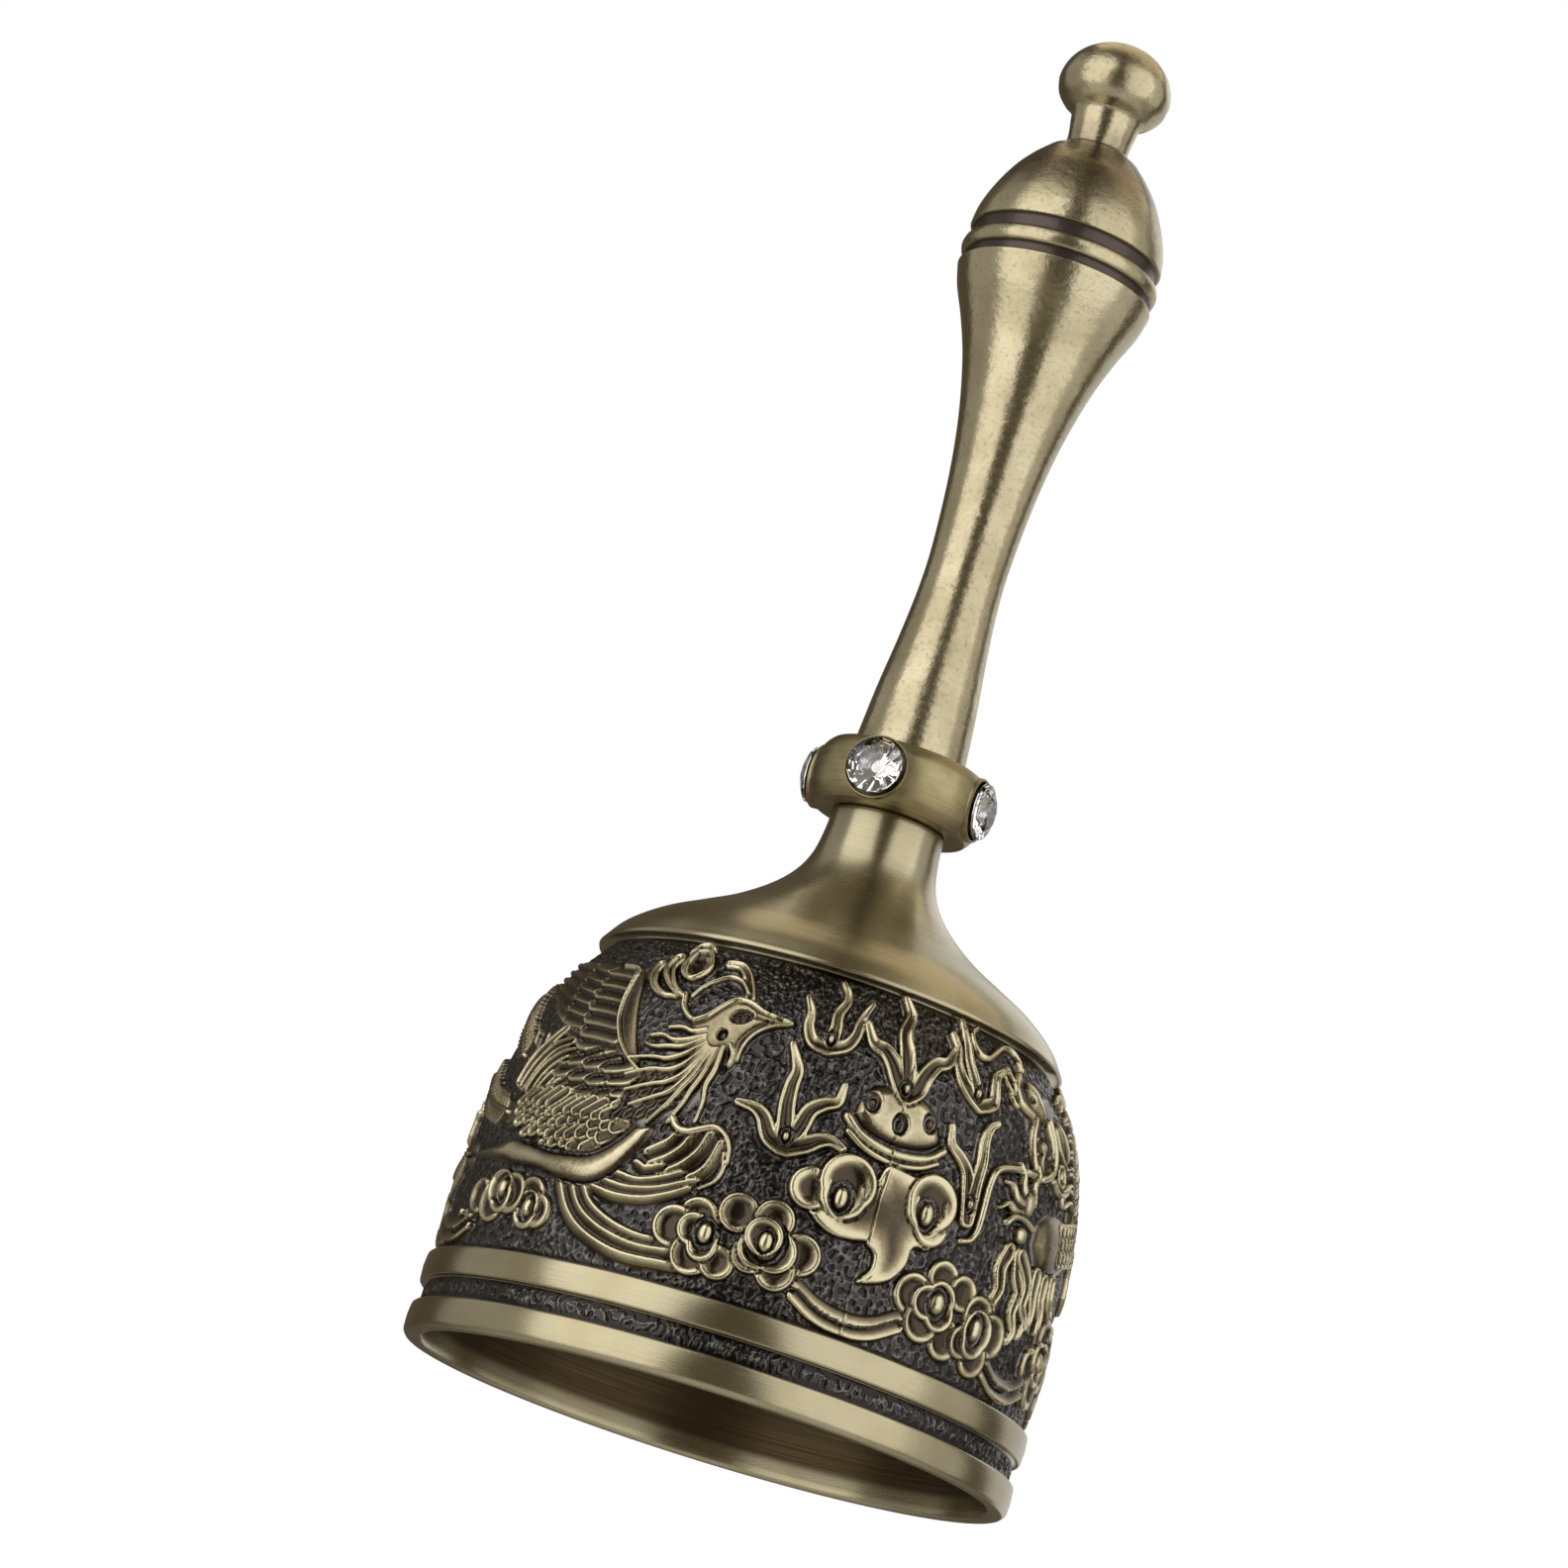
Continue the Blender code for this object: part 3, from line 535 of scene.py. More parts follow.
def low_clouds(art):
    """Flower clouds and ribbons along the foot of the front."""
    ribbon(art, [(4.2, 3.5), (6.4, 2.4), (9.2, 2.0), (11.8, 2.5), (14.3, 4.0)])
    ribbon(art, [(25.6, 3.5), (28.2, 2.4), (31.0, 2.4), (33.8, 3.6)])
    ribbon(art, [(-40.5, 3.3), (-37.5, 2.3), (-34.5, 2.3), (-32.0, 3.2)])
    flower_cloud(art, [(-5.8, 6.5, 2.0), (-7.7, 5.2, 2.1), (-5.5, 3.2, 2.05),
                       (-3.1, 3.1, 1.7)],
                 [(-5.9, 5.4, 1.65), (-4.9, 5.0, 1.5), (-4.8, 4.1, 1.5)],
                 (-4.85, 5.3, 0.8, 1.15))
    flower_cloud(art, [(-2.5, 7.9, 1.95), (0.7, 8.2, 1.95), (3.7, 5.9, 2.05),
                       (2.0, 3.9, 1.95), (-0.5, 4.6, 1.8)],
                 [(0.0, 5.3, 1.95), (1.5, 5.5, 2.1)],
                 (0.6, 6.1, 1.5, 1.8))
    art.lobes([(0.2, 6.5, 1.85)], edge=0.3, floor=0.36, rim=1.0)
    art.oval(0.5, 6.1, 0.85, 1.2, 1.0)
    flower_cloud(art, [(17.6, 8.4, 1.85), (20.2, 7.9, 1.8), (14.9, 6.1, 2.1),
                       (19.6, 3.4, 2.0), (16.6, 4.2, 2.1)],
                 [(16.5, 5.9, 1.75), (17.8, 6.6, 1.8), (18.1, 5.3, 1.75)],
                 (17.75, 6.15, 0.95, 1.2))
    flower_cloud(art, [(22.8, 6.6, 2.05), (25.3, 5.5, 2.15), (23.7, 3.0, 1.95),
                       (21.7, 3.9, 1.7)],
                 [(23.2, 5.3, 2.1), (23.1, 4.3, 1.7)], (23.0, 5.4, 0.85, 1.3))
    flower_cloud(art, [(-23.2, 5.2, 1.9), (-21.9, 3.9, 1.75), (-23.2, 3.5, 1.6)],
                 [(-23.1, 4.3, 1.5)], (-23.1, 4.1, 0.75, 1.05))
    flower_cloud(art, [(-31.2, 4.8, 1.85), (-26.0, 5.2, 2.1), (-28.6, 4.4, 2.2)],
                 [(-27.9, 5.6, 1.9), (-27.3, 4.8, 1.7)], (-27.5, 5.6, 0.85, 1.05))


def dragon_head(art):
    """Head in profile towards the pearl: snout, open jaws, eye, brow, horn and mane."""
    for i in range(6):
        v = 20.6 + 1.6 * i
        art.channel([[(33.6, v), (36.2, v + 1.0), (38.6, v + 0.2), (42.4, v + 1.7)]],
                    0.86, edge=0.24, fall=0.26, tip=0.35)
    art.channel([[(32.4, 28.4), (34.6, 30.4), (37.4, 30.9), (40.4, 32.8)]], 0.85,
                edge=0.26, fall=0.3, tip=0.4)
    art.region([(24.6, 27.0), (24.2, 29.6), (25.6, 30.8), (27.6, 30.6), (29.4, 29.6),
                (31.6, 30.2), (34.2, 29.0), (35.8, 26.6), (35.4, 23.4), (33.0, 21.4),
                (29.4, 21.2), (26.6, 21.0), (25.5, 22.6), (25.1, 24.8)], 0.42, shoulder=0.7)
    # nose, nostril, and the upper lip with its hairs
    art.region([(24.9, 29.4), (25.8, 30.6), (27.6, 30.4), (28.9, 29.0), (29.3, 27.2),
                (28.6, 26.2), (27.0, 26.3), (25.4, 27.2)], 1.05, shoulder=1.5)
    art.sink(26.0, 28.2, 0.4, 0.34, 0.3, 30)
    art.lines([[(23.9, 30.0), (23.1, 28.7), (23.4, 27.4), (24.6, 26.8), (26.2, 26.4)]],
              0.5, 1.0, over=True, tip=0.9)
    for u, v in ((22.4, 29.6), (21.6, 28.4), (22.2, 27.2)):
        art.lines([[(u + 0.9, v - 0.6), (u + 0.2, v - 0.2), (u - 0.3, v + 0.9)]], 0.3, 0.85,
                  tip=0.5)
    # the two long jaws with teeth, palate and tongue between them
    art.lines([[(26.3, 26.3), (25.8, 24.6), (26.0, 22.8), (26.9, 21.2)]], 0.52, 1.0,
              over=True, tip=0.85)
    art.lines([[(28.9, 26.6), (29.9, 24.9), (30.4, 23.2), (30.3, 21.6)]], 0.55, 1.0,
              over=True, tip=0.8)
    art.sink(28.1, 25.4, 0.5, 0.45, 0.5)
    art.oval(28.2, 24.2, 0.95, 0.75, 0.8)
    art.lines([[(28.1, 23.6), (27.8, 22.7), (28.3, 21.9)]], 0.34, 0.8)
    for u, v in ((26.7, 24.6), (26.8, 23.2), (29.4, 23.6), (29.6, 22.5)):
        art.oval(u, v, 0.26, 0.4, 0.8)
    # brow, eye and cheek
    art.region([(30.9, 27.0), (31.8, 28.2), (34.0, 27.8), (35.8, 26.0), (35.6, 24.2),
                (33.8, 24.2), (31.9, 25.2)], 1.04, shoulder=1.3)
    art.lines([[(30.9, 26.6), (32.0, 25.0), (33.9, 23.9), (35.6, 24.0)]], 0.36, 0.9,
              over=True)
    art.oval(32.5, 22.6, 1.45, 1.15, 0.3, section=slab)
    art.lobes([(32.5, 22.6, 1.25)], rim=0.9, floor=0.4, edge=0.25, fall=0.25)
    art.oval(32.5, 22.6, 0.75, 0.7, 1.0)
    art.lines([[(30.6, 21.6), (32.2, 20.9), (34.0, 21.2), (35.4, 22.4)]], 0.42, 0.95)
    # the long whisker and the upper one
    art.lines([[(29.4, 27.0), (30.4, 25.2), (30.6, 23.4), (29.8, 21.9), (27.8, 21.1),
                (25.0, 20.95), (22.6, 20.5), (20.9, 19.7), (20.2, 18.0), (20.0, 15.6),
                (19.8, 13.7), (19.2, 12.6), (18.2, 12.2)]], 0.52, 1.0, over=True, tip=0.72)
    art.lines([[(17.8, 33.3), (16.9, 32.4), (16.9, 31.2), (17.7, 30.3), (19.0, 30.3),
                (20.3, 31.3), (21.8, 32.4), (23.4, 32.7), (24.5, 31.9), (24.7, 30.8)]],
              0.46, 0.97, over=True, tip=0.7)


def claw(art, u, v, flip=1):
    """A paw: curved toes with talons round a palm, a knuckle band and the wrist."""
    toes = [[(0.7, 0.6), (0.5, 2.2), (1.1, 3.2), (0.7, 4.2)],
            [(-0.5, 0.8), (-1.3, 1.7), (-1.5, 2.8), (-2.3, 3.6)],
            [(-0.8, 0.0), (-2.0, 0.3), (-2.9, 1.2), (-4.0, 1.3)],
            [(-0.7, -0.9), (-2.0, -0.9), (-3.1, -0.5), (-4.2, -1.2)]]
    art.strokes([[(u + flip * du, v + dv) for du, dv in toe] for toe in toes], 0.68, 0.97,
                over=True, tip=0.2)
    art.oval(u, v + 0.3, 0.95, 1.5, 1.02)
    art.lines([[(u - 2.9 * flip, v - 2.2), (u - 1.9 * flip, v - 1.4), (u - 0.2 * flip, v - 1.3),
                (u + 1.4 * flip, v - 1.7)]], 0.45, 1.0, over=True, tip=0.7)
    art.oval(u - 0.4 * flip, v - 2.7, 1.0, 1.0, 1.03)


def limb(art, route, width):
    """A scaled leg that narrows towards the paw, with a tuft behind its joint."""
    u, v = route[1]
    for du, dv in ((3.4, -0.6), (3.2, -2.0), (2.0, -3.2)):
        art.channel([[(u, v), (u + 0.5 * du, v + 0.5 * dv + 0.5), (u + du, v + dv)]],
                    0.7, edge=0.22, fall=0.24, tip=0.35)
    art.lines([route], width, 0.8, slab, over=True, tip=0.5)
    curve = flowing(route, 8)
    for i, t in enumerate(np.linspace(0.03, 0.93, int(length_of(curve) / 0.75))):
        p, _, side = at(curve, t)
        girth = width * (1 - 0.5 * t ** 1.8)
        for k in (-1.0, 0.0, 1.0):
            q = p + side * girth * (0.52 * k + 0.22 * (i % 2) - 0.11)
            art.lobes([(q[0], q[1], 0.38 * girth)], rim=1.0, floor=0.5, edge=0.18, fall=0.25)


def dragon_front(art):
    """The raised foreleg, its smooth shoulder, and the long hair that hangs from it."""
    art.region([(28.2, 15.0), (28.8, 17.2), (31.0, 18.8), (35.0, 19.4), (40.0, 18.6),
                (40.6, 16.4), (37.4, 14.4), (33.6, 12.8), (30.2, 12.9)], 1.0, shoulder=1.9)
    for i in range(16):
        u, v = 34.0 + 1.3 * (i // 3), 15.2 + 1.25 * (i % 3) + 0.3 * (i // 3)
        art.lobes([(u, v, 0.95)], rim=1.04, floor=0.7, edge=0.2, fall=0.3)
    strands = [
        [(24.6, 13.4), (23.9, 11.6), (24.4, 9.8), (23.9, 8.2), (24.8, 6.9)],
        [(26.0, 13.3), (26.5, 11.7), (27.5, 10.3), (27.2, 8.4), (28.1, 6.9), (27.7, 5.8)],
        [(26.6, 13.4), (27.8, 12.4), (28.7, 11.1), (28.6, 9.5), (29.7, 8.3), (29.3, 6.7)]]
    for route in strands:
        art.channel([route], 0.84, edge=0.24, fall=0.26, tip=0.5)
    leaves = [
        [(30.0, 12.6), (30.1, 10.9), (30.7, 9.2), (30.4, 7.8)],
        [(31.9, 12.5), (32.0, 10.9), (32.9, 9.4), (32.8, 8.0)],
        [(33.9, 12.9), (34.3, 11.4), (35.4, 10.5), (35.8, 9.6)]]
    for route in leaves:
        art.channel([route], 0.9, edge=0.26, fall=0.3, tip=0.4)
    claw(art, 26.3, 17.9)
    flower_cloud(art, [(34.0, 5.0, 1.9), (39.4, 5.4, 2.0), (36.8, 3.4, 2.0),
                       (36.6, 8.2, 2.0), (39.0, 7.6, 1.8)],
                 [(36.0, 6.2, 1.7), (37.6, 6.4, 1.7), (36.8, 5.2, 1.7)],
                 (36.8, 6.0, 0.9, 1.15))


def dragon_body(art):
    """The long scaled coil round the back, with fins, belly plates and two more legs."""
    route = [(40.0, 19.0), (45.0, 24.0), (51.0, 26.0), (56.5, 22.0), (60.0, 15.5),
             (65.5, 12.0), (71.5, 15.0), (75.5, 21.0), (81.0, 24.5), (86.5, 21.5),
             (89.5, 15.5), (93.0, 12.0)]
    curve = flowing(route, 10)
    width, taper = 3.2, 0.66
    fins, scale_rows, scales_across, belly_plates = 58, 120, 4, 76
    for t in np.linspace(0.02, 0.97, fins):
        p, d, side = at(curve, t)
        girth = width * (1 - taper * t)
        root = p + side * girth * 0.8
        art.lines([[root, root + side * 0.6 * girth + d * 0.3,
                    root + side * 0.95 * girth + d * 1.1]], 0.42, 0.85, over=True, tip=0.2)
    art.lines([route], width, 0.8, slab, over=True, tip=0.34)
    for t in np.linspace(0.01, 0.985, scale_rows):
        p, d, side = at(curve, t)
        girth = width * (1 - taper * t ** 1.6)
        for k in range(scales_across):
            shift = (k - 0.7 + 0.5 * (int(t * (scale_rows - 1)) % 2)) / scales_across
            q = p + side * girth * (shift * 1.25 - 0.1)
            art.lobes([(q[0], q[1], 0.36 * girth)], rim=1.0, floor=0.5, edge=0.2, fall=0.3)
    for t in np.linspace(0.01, 0.985, belly_plates):
        p, d, side = at(curve, t)
        girth = width * (1 - taper * t ** 1.6)
        art.lines([[p - side * girth * 0.95, p - side * girth * 0.5 + d * 0.25]], 0.34, 0.9,
                  over=True, tip=0.8)
    limb(art, [(56.4, 20.0), (54.8, 16.6), (52.8, 14.6), (51.8, 12.6)], 1.9)
    claw(art, 51.4, 11.6)
    limb(art, [(74.6, 18.4), (77.0, 15.4), (79.8, 13.6), (80.8, 11.8)], 1.7)
    claw(art, 81.4, 11.4, -1)
    flame(art, [[(92.5, 12.2), (93.6, 13.8), (93.6, 15.6), (94.8, 17.0)],
                [(92.5, 12.2), (94.6, 12.6), (95.8, 13.8), (97.2, 13.6)],
                [(92.5, 12.2), (94.6, 11.2), (95.6, 10.2), (97.4, 10.5)]], (93.2, 12.1), 0.7)


def plume(art, route, width):
    """A long tail feather: a shaft, slanting barbs on both sides and an eye at its end."""
    curve = flowing(route, 10)
    art.lines([route], width, 0.5, slab, over=True, tip=0.85)
    for t in np.linspace(0.02, 0.96, int(length_of(curve) / 0.85)):
        p, d, left = at(curve, t)
        for side in (-left, left):
            art.lines([[p, p + side * 0.55 * width + d * 0.5,
                        p + side * 1.05 * width + d * 1.3]], 0.27, 0.8, tip=0.5)
    art.lines([route], 0.3, 1.0, tip=0.7)
    u, v = route[-1]
    art.lobes([(u, v, 2.3), (u - 1.1, v + 0.8, 1.7)])
    art.lobes([(u - 0.2, v, 1.3)], rim=0.9, floor=0.3)
    art.oval(u - 0.2, v, 0.62, 0.8, 1.0)


def phoenix_tail(art):
    fans = [
        [(-23.6, 15.2), (-25.4, 16.4), (-26.4, 18.2), (-26.2, 19.6)],
        [(-25.2, 14.8), (-27.0, 16.0), (-28.2, 18.0), (-28.2, 20.0)],
        [(-27.0, 14.6), (-28.8, 16.0), (-30.0, 18.2), (-30.4, 20.6)],
        [(-29.0, 14.8), (-30.8, 16.2), (-32.2, 18.4), (-33.0, 21.0)]]
    art.strokes(fans, 0.95, 0.85, shingle, over=True, tip=0.5)
    plume(art, [(-38.0, 9.0), (-44.0, 7.4), (-50.0, 8.6), (-56.0, 11.2), (-62.0, 11.0),
                (-68.0, 8.2), (-73.0, 9.4)], 1.5)
    plume(art, [(-31.0, 12.8), (-37.0, 14.4), (-43.0, 17.6), (-50.0, 18.4), (-57.0, 16.8),
                (-64.0, 18.0), (-70.0, 20.4)], 1.5)
    plume(art, [(-33.0, 18.6), (-38.0, 22.4), (-44.0, 26.6), (-51.0, 27.8), (-57.5, 25.4),
                (-62.0, 27.4)], 1.4)
    flame(art, [[(-76.0, 13.0), (-75.2, 15.4), (-76.0, 17.6), (-75.0, 19.8), (-75.8, 22.0)],
                [(-76.0, 13.0), (-77.8, 14.6), (-78.2, 16.6), (-79.6, 17.8)],
                [(-76.0, 13.0), (-74.0, 14.0), (-72.8, 15.6), (-71.2, 15.8)]],
          (-76.0, 14.0), 0.66)


def back_fill(art):
    """Clouds along the foot of the back and small flames in its open spaces."""
    for u in (51.8, 77.6, 93.8, -38.6, -52.8, -67.2, -75.4):
        ribbon(art, [(u - 4.0, 3.3), (u - 1.6, 2.1), (u + 1.6, 2.1), (u + 4.0, 3.3)])
    for u, flip in ((46.0, 1), (60.5, -1), (69.0, 1), (87.0, -1), (-46.5, 1), (-59.5, -1),
                    (-84.0, 1)):
        blossom(art, u, 4.9, 0.95, flip)
    for u, v, size in ((46.6, 15.6, 0.9), (66.5, 20.5, 1.15), (82.0, 18.2, 0.55),
                       (63.0, 28.0, 0.8), (73.5, 28.6, 0.8), (92.0, 27.5, 1.0),
                       (-66.8, 27.6, 0.8), (-46.5, 13.0, 0.6), (-80.0, 28.0, 0.9)):
        prongs = [[(0, -3.2), (0.4, -0.8), (-0.3, 1.4), (0.5, 4.0)],
                  [(0, -3.2), (-1.9, -2.0), (-2.0, -0.2), (-3.2, 1.4)],
                  [(0, -3.2), (1.9, -1.8), (2.2, 0.2), (3.3, 1.8)]]
        flame(art, [[(u + size * a, v + size * b) for a, b in p] for p in prongs],
              (u, v - 2.4 * size), 0.85 * size)
    u, v = 98.8, 20.5
    art.dished([(u - 2.8, v + 0.6), (u, v + 2.0), (u + 2.8, v + 0.6), (u + 3.4, v - 2.6),
                (u + 1.2, v - 3.6), (u + 0.6, v - 5.6), (u - 1.4, v - 6.6),
                (u - 0.8, v - 4.8), (u - 1.6, v - 3.4), (u - 3.4, v - 2.6)],
               rim=0.96, floor=0.6, edge=0.34, fall=1.2)
    for hand in (-1, 1):
        art.lobes([(u + hand * 4.4, v - 0.8, 1.8), (u + hand * 3.0, v - 1.6, 1.6)], edge=0.4)
        art.lobes([(u + hand * 2.8, v + 0.8, 2.5), (u + hand * 2.6, v - 0.2, 2.0)],
                  floor=0.5, edge=0.4)
        art.oval(u + hand * 2.7, v + 0.2, 1.2, 1.5, 0.28, section=slab)
        art.oval(u + hand * 2.7, v + 0.2, 0.75, 1.1, 0.97)


def draw_relief():
    art = Canvas()
    for motif in (back_fill, phoenix_tail, dragon_body, flames, phoenix_wings, phoenix_body,
                  phoenix_neck, phoenix_head, hackles, dragon_head, dragon_front, low_clouds,
                  pearl_and_cloud):
        motif(art)
    z = spread_blur(art.z, 0.5)
    u = np.arange(COLUMNS) * STEP_U
    v = np.arange(ROWS) * STEP_V
    wander = 0.05 * np.sin(v * 1.3)
    for seam in (SEAM_U, SEAM_U + HALF_TURN_U):
        off = u[None, :] - (seam + wander)[:, None]
        off = (off + HALF_TURN_U) % (2 * HALF_TURN_U) - HALF_TURN_U
        z += SEAM_HEIGHT * np.exp(-(off / SEAM_WIDTH) ** 2)
    edge = ease(v / EDGE_FADE) * ease((WALL_LENGTH - v) / EDGE_FADE)
    return z * edge[:, None]


# --- meshes -----------------------------------------------------------------

# Bell casting (the frame's own figures)
MOUTH_RADIUS = 29.0
RIM_HEIGHT = 2.9
STRIP_TOP = 5.0
STRIP_RADIUS = 28.1
STRIP_ROWS = 16
BAND_TOP = 7.65
LIP_RADIUS = 22.6
LIP_HEIGHT = 40.35
CROWN_HEIGHT = 46.8
NECK_TOP = 59.42
BORE_RADIUS = 2.2
SPIGOT_RADIUS = 4.6

# Collar and stones
COLLAR_BOTTOM = 59.5
COLLAR_TOP = 65.8
COLLAR_MIDDLE = 0.5 * (COLLAR_BOTTOM + COLLAR_TOP)
COLLAR_BORE = 4.9
FIRST_STONE_ANGLE = -109.4
STONE_NAMES = ["rhinestone_front", "rhinestone_right", "rhinestone_back", "rhinestone_left"]

# Handle
HANDLE_BOTTOM = 65.88
HANDLE_BORE_TOP = 78.0
FINIAL_RADIUS = 5.6
FINIAL_MIDDLE = 136.4
OVERALL_HEIGHT = 141.2

# Inside the bell
HANGER_RADIUS = 3.3          # to the middle of the wire
HANGER_WIRE = 0.75
HANGER_MIDDLE = 34.35
BALL_RADIUS = 5.6
BALL_MIDDLE = 10.2
BALL_BORE = 1.15
BALL_FLAT = 2.15             # radius of the flats round the bore

# Zones that the brass material reads, written on the bell's vertices
RELIEF, TURNED, INSIDE = 0.0, 1.0, 2.0


def mesh_object(name, points_mm, faces, attributes=None):
    mesh = bpy.data.meshes.new(name)
    mesh.from_pydata((np.asarray(points_mm) * MM).tolist(), [], faces)
    for key, values in (attributes or {}).items():
        layer = mesh.attributes.new(key, 'FLOAT', 'POINT')
        layer.data.foreach_set("value", np.asarray(values, np.float32))
    mesh.shade_smooth()
    item = bpy.data.objects.new(name, mesh)
    bpy.context.collection.objects.link(item)
    return item


def softened(outline, size, closed=True):
    """The outline with each corner turned by more than 25 degrees rounded off."""
    steps = 3
    result = []
    count = len(outline)
    for i in range(count):
        here = np.array(outline[i], float)
        if not closed and i in (0, count - 1):
            result.append(tuple(here))
            continue
        before, after = np.array(outline[i - 1]), np.array(outline[(i + 1) % count])
        back, ahead = before - here, after - here
        long_back, long_ahead = np.linalg.norm(back), np.linalg.norm(ahead)
        bend = np.degrees(np.arccos(np.clip(-back @ ahead / (long_back * long_ahead), -1, 1)))
        if bend < 25:
            result.append(tuple(here))
            continue
        reach = min(size, 0.4 * long_back, 0.4 * long_ahead)
        start, end = here + back / long_back * reach, here + ahead / long_ahead * reach
        for k in range(steps + 1):
            t = k / steps
            result.append(tuple((1 - t) ** 2 * start + 2 * t * (1 - t) * here + t * t * end))
    return result


def lathe(name, outline, segments, closed=True):
    """Solid turned about Z. An open outline starts and ends on the axis."""
    points, faces = [], []
    angles = np.arange(segments) * TURN / segments
    rings = []
    for r, z in outline:
        if r < 1e-6:
            rings.append([len(points)])
            points.append((0.0, 0.0, z))
        else:
            rings.append(list(range(len(points), len(points) + segments)))
            points += [(r * math.cos(a), r * math.sin(a), z) for a in angles]
    pairs = list(zip(rings, rings[1:])) + ([(rings[-1], rings[0])] if closed else [])
    for a, b in pairs:
        for i in range(segments):
            j = (i + 1) % segments
            if len(a) == 1:
                faces.append([a[0], b[i], b[j]])
            elif len(b) == 1:
                faces.append([a[i], b[0], a[j]])
            else:
                faces.append([a[i], b[i], b[j], a[j]])
    return face_outwards(mesh_object(name, points, faces))


def face_outwards(item):
    bm = bmesh.new()
    bm.from_mesh(item.data)
    bmesh.ops.recalc_face_normals(bm, faces=bm.faces)
    bm.to_mesh(item.data)
    bm.free()
    return item


def moved(item, matrix):
    item.data.transform(matrix)
    return item


def joined(items, name):
    """One object out of several closed ones."""
    bm = bmesh.new()
    for item in items:
        bm.from_mesh(item.data)
    mesh = bpy.data.meshes.new(name)
    bm.to_mesh(mesh)
    bm.free()
    for item in items:
        bpy.data.objects.remove(item, do_unlink=True)
    result = bpy.data.objects.new(name, mesh)
    bpy.context.collection.objects.link(result)
    return result


def cut(item, tools, operation):
    """Boolean against each tool in turn, leaving plain meshes behind."""
    for tool in tools:
        modifier = item.modifiers.new("cut", 'BOOLEAN')
        modifier.operation = operation
        modifier.object = tool
        graph = bpy.context.evaluated_depsgraph_get()
        result = bpy.data.meshes.new_from_object(item.evaluated_get(graph))
        item.modifiers.clear()
        item.data = result
        bpy.data.objects.remove(tool, do_unlink=True)


def hanger_ring():
    """Closed wire ring that stands in the YZ plane."""
    segments, wire_segments = 72, 20
    points, faces = [], []
    for i in range(segments):
        a = TURN * i / segments
        for k in range(wire_segments):
            b = TURN * k / wire_segments
            r = HANGER_RADIUS + HANGER_WIRE * math.cos(b)
            points.append((-HANGER_WIRE * math.sin(b), r * math.cos(a),
                           HANGER_MIDDLE + r * math.sin(a)))
            j, m = (i + 1) % segments, (k + 1) % wire_segments
            faces.append((i * wire_segments + k, i * wire_segments + m,
                          j * wire_segments + m, j * wire_segments + k))
    return face_outwards(mesh_object("wire_hanger_ring", points, faces))


def wall_curve():
    """Evenly spaced points and outward directions up the decorated wall."""
    curve = flowing([(28.45, BAND_TOP + 0.1), (28.6, 15.0), (28.3, 22.0), (27.4, 28.2),
                     (25.9, 33.6), (24.0, 37.2), (22.0, LIP_HEIGHT - 0.25)], 12)
    length = np.r_[0, np.cumsum(np.linalg.norm(np.diff(curve, axis=0), axis=1))]
    even = np.linspace(0, length[-1], ROWS)
    r, z = np.interp(even, length, curve[:, 0]), np.interp(even, length, curve[:, 1])
    dr, dz = np.gradient(r), np.gradient(z)
    size = np.hypot(dr, dz)
    return r, z, dz / size, -dr / size


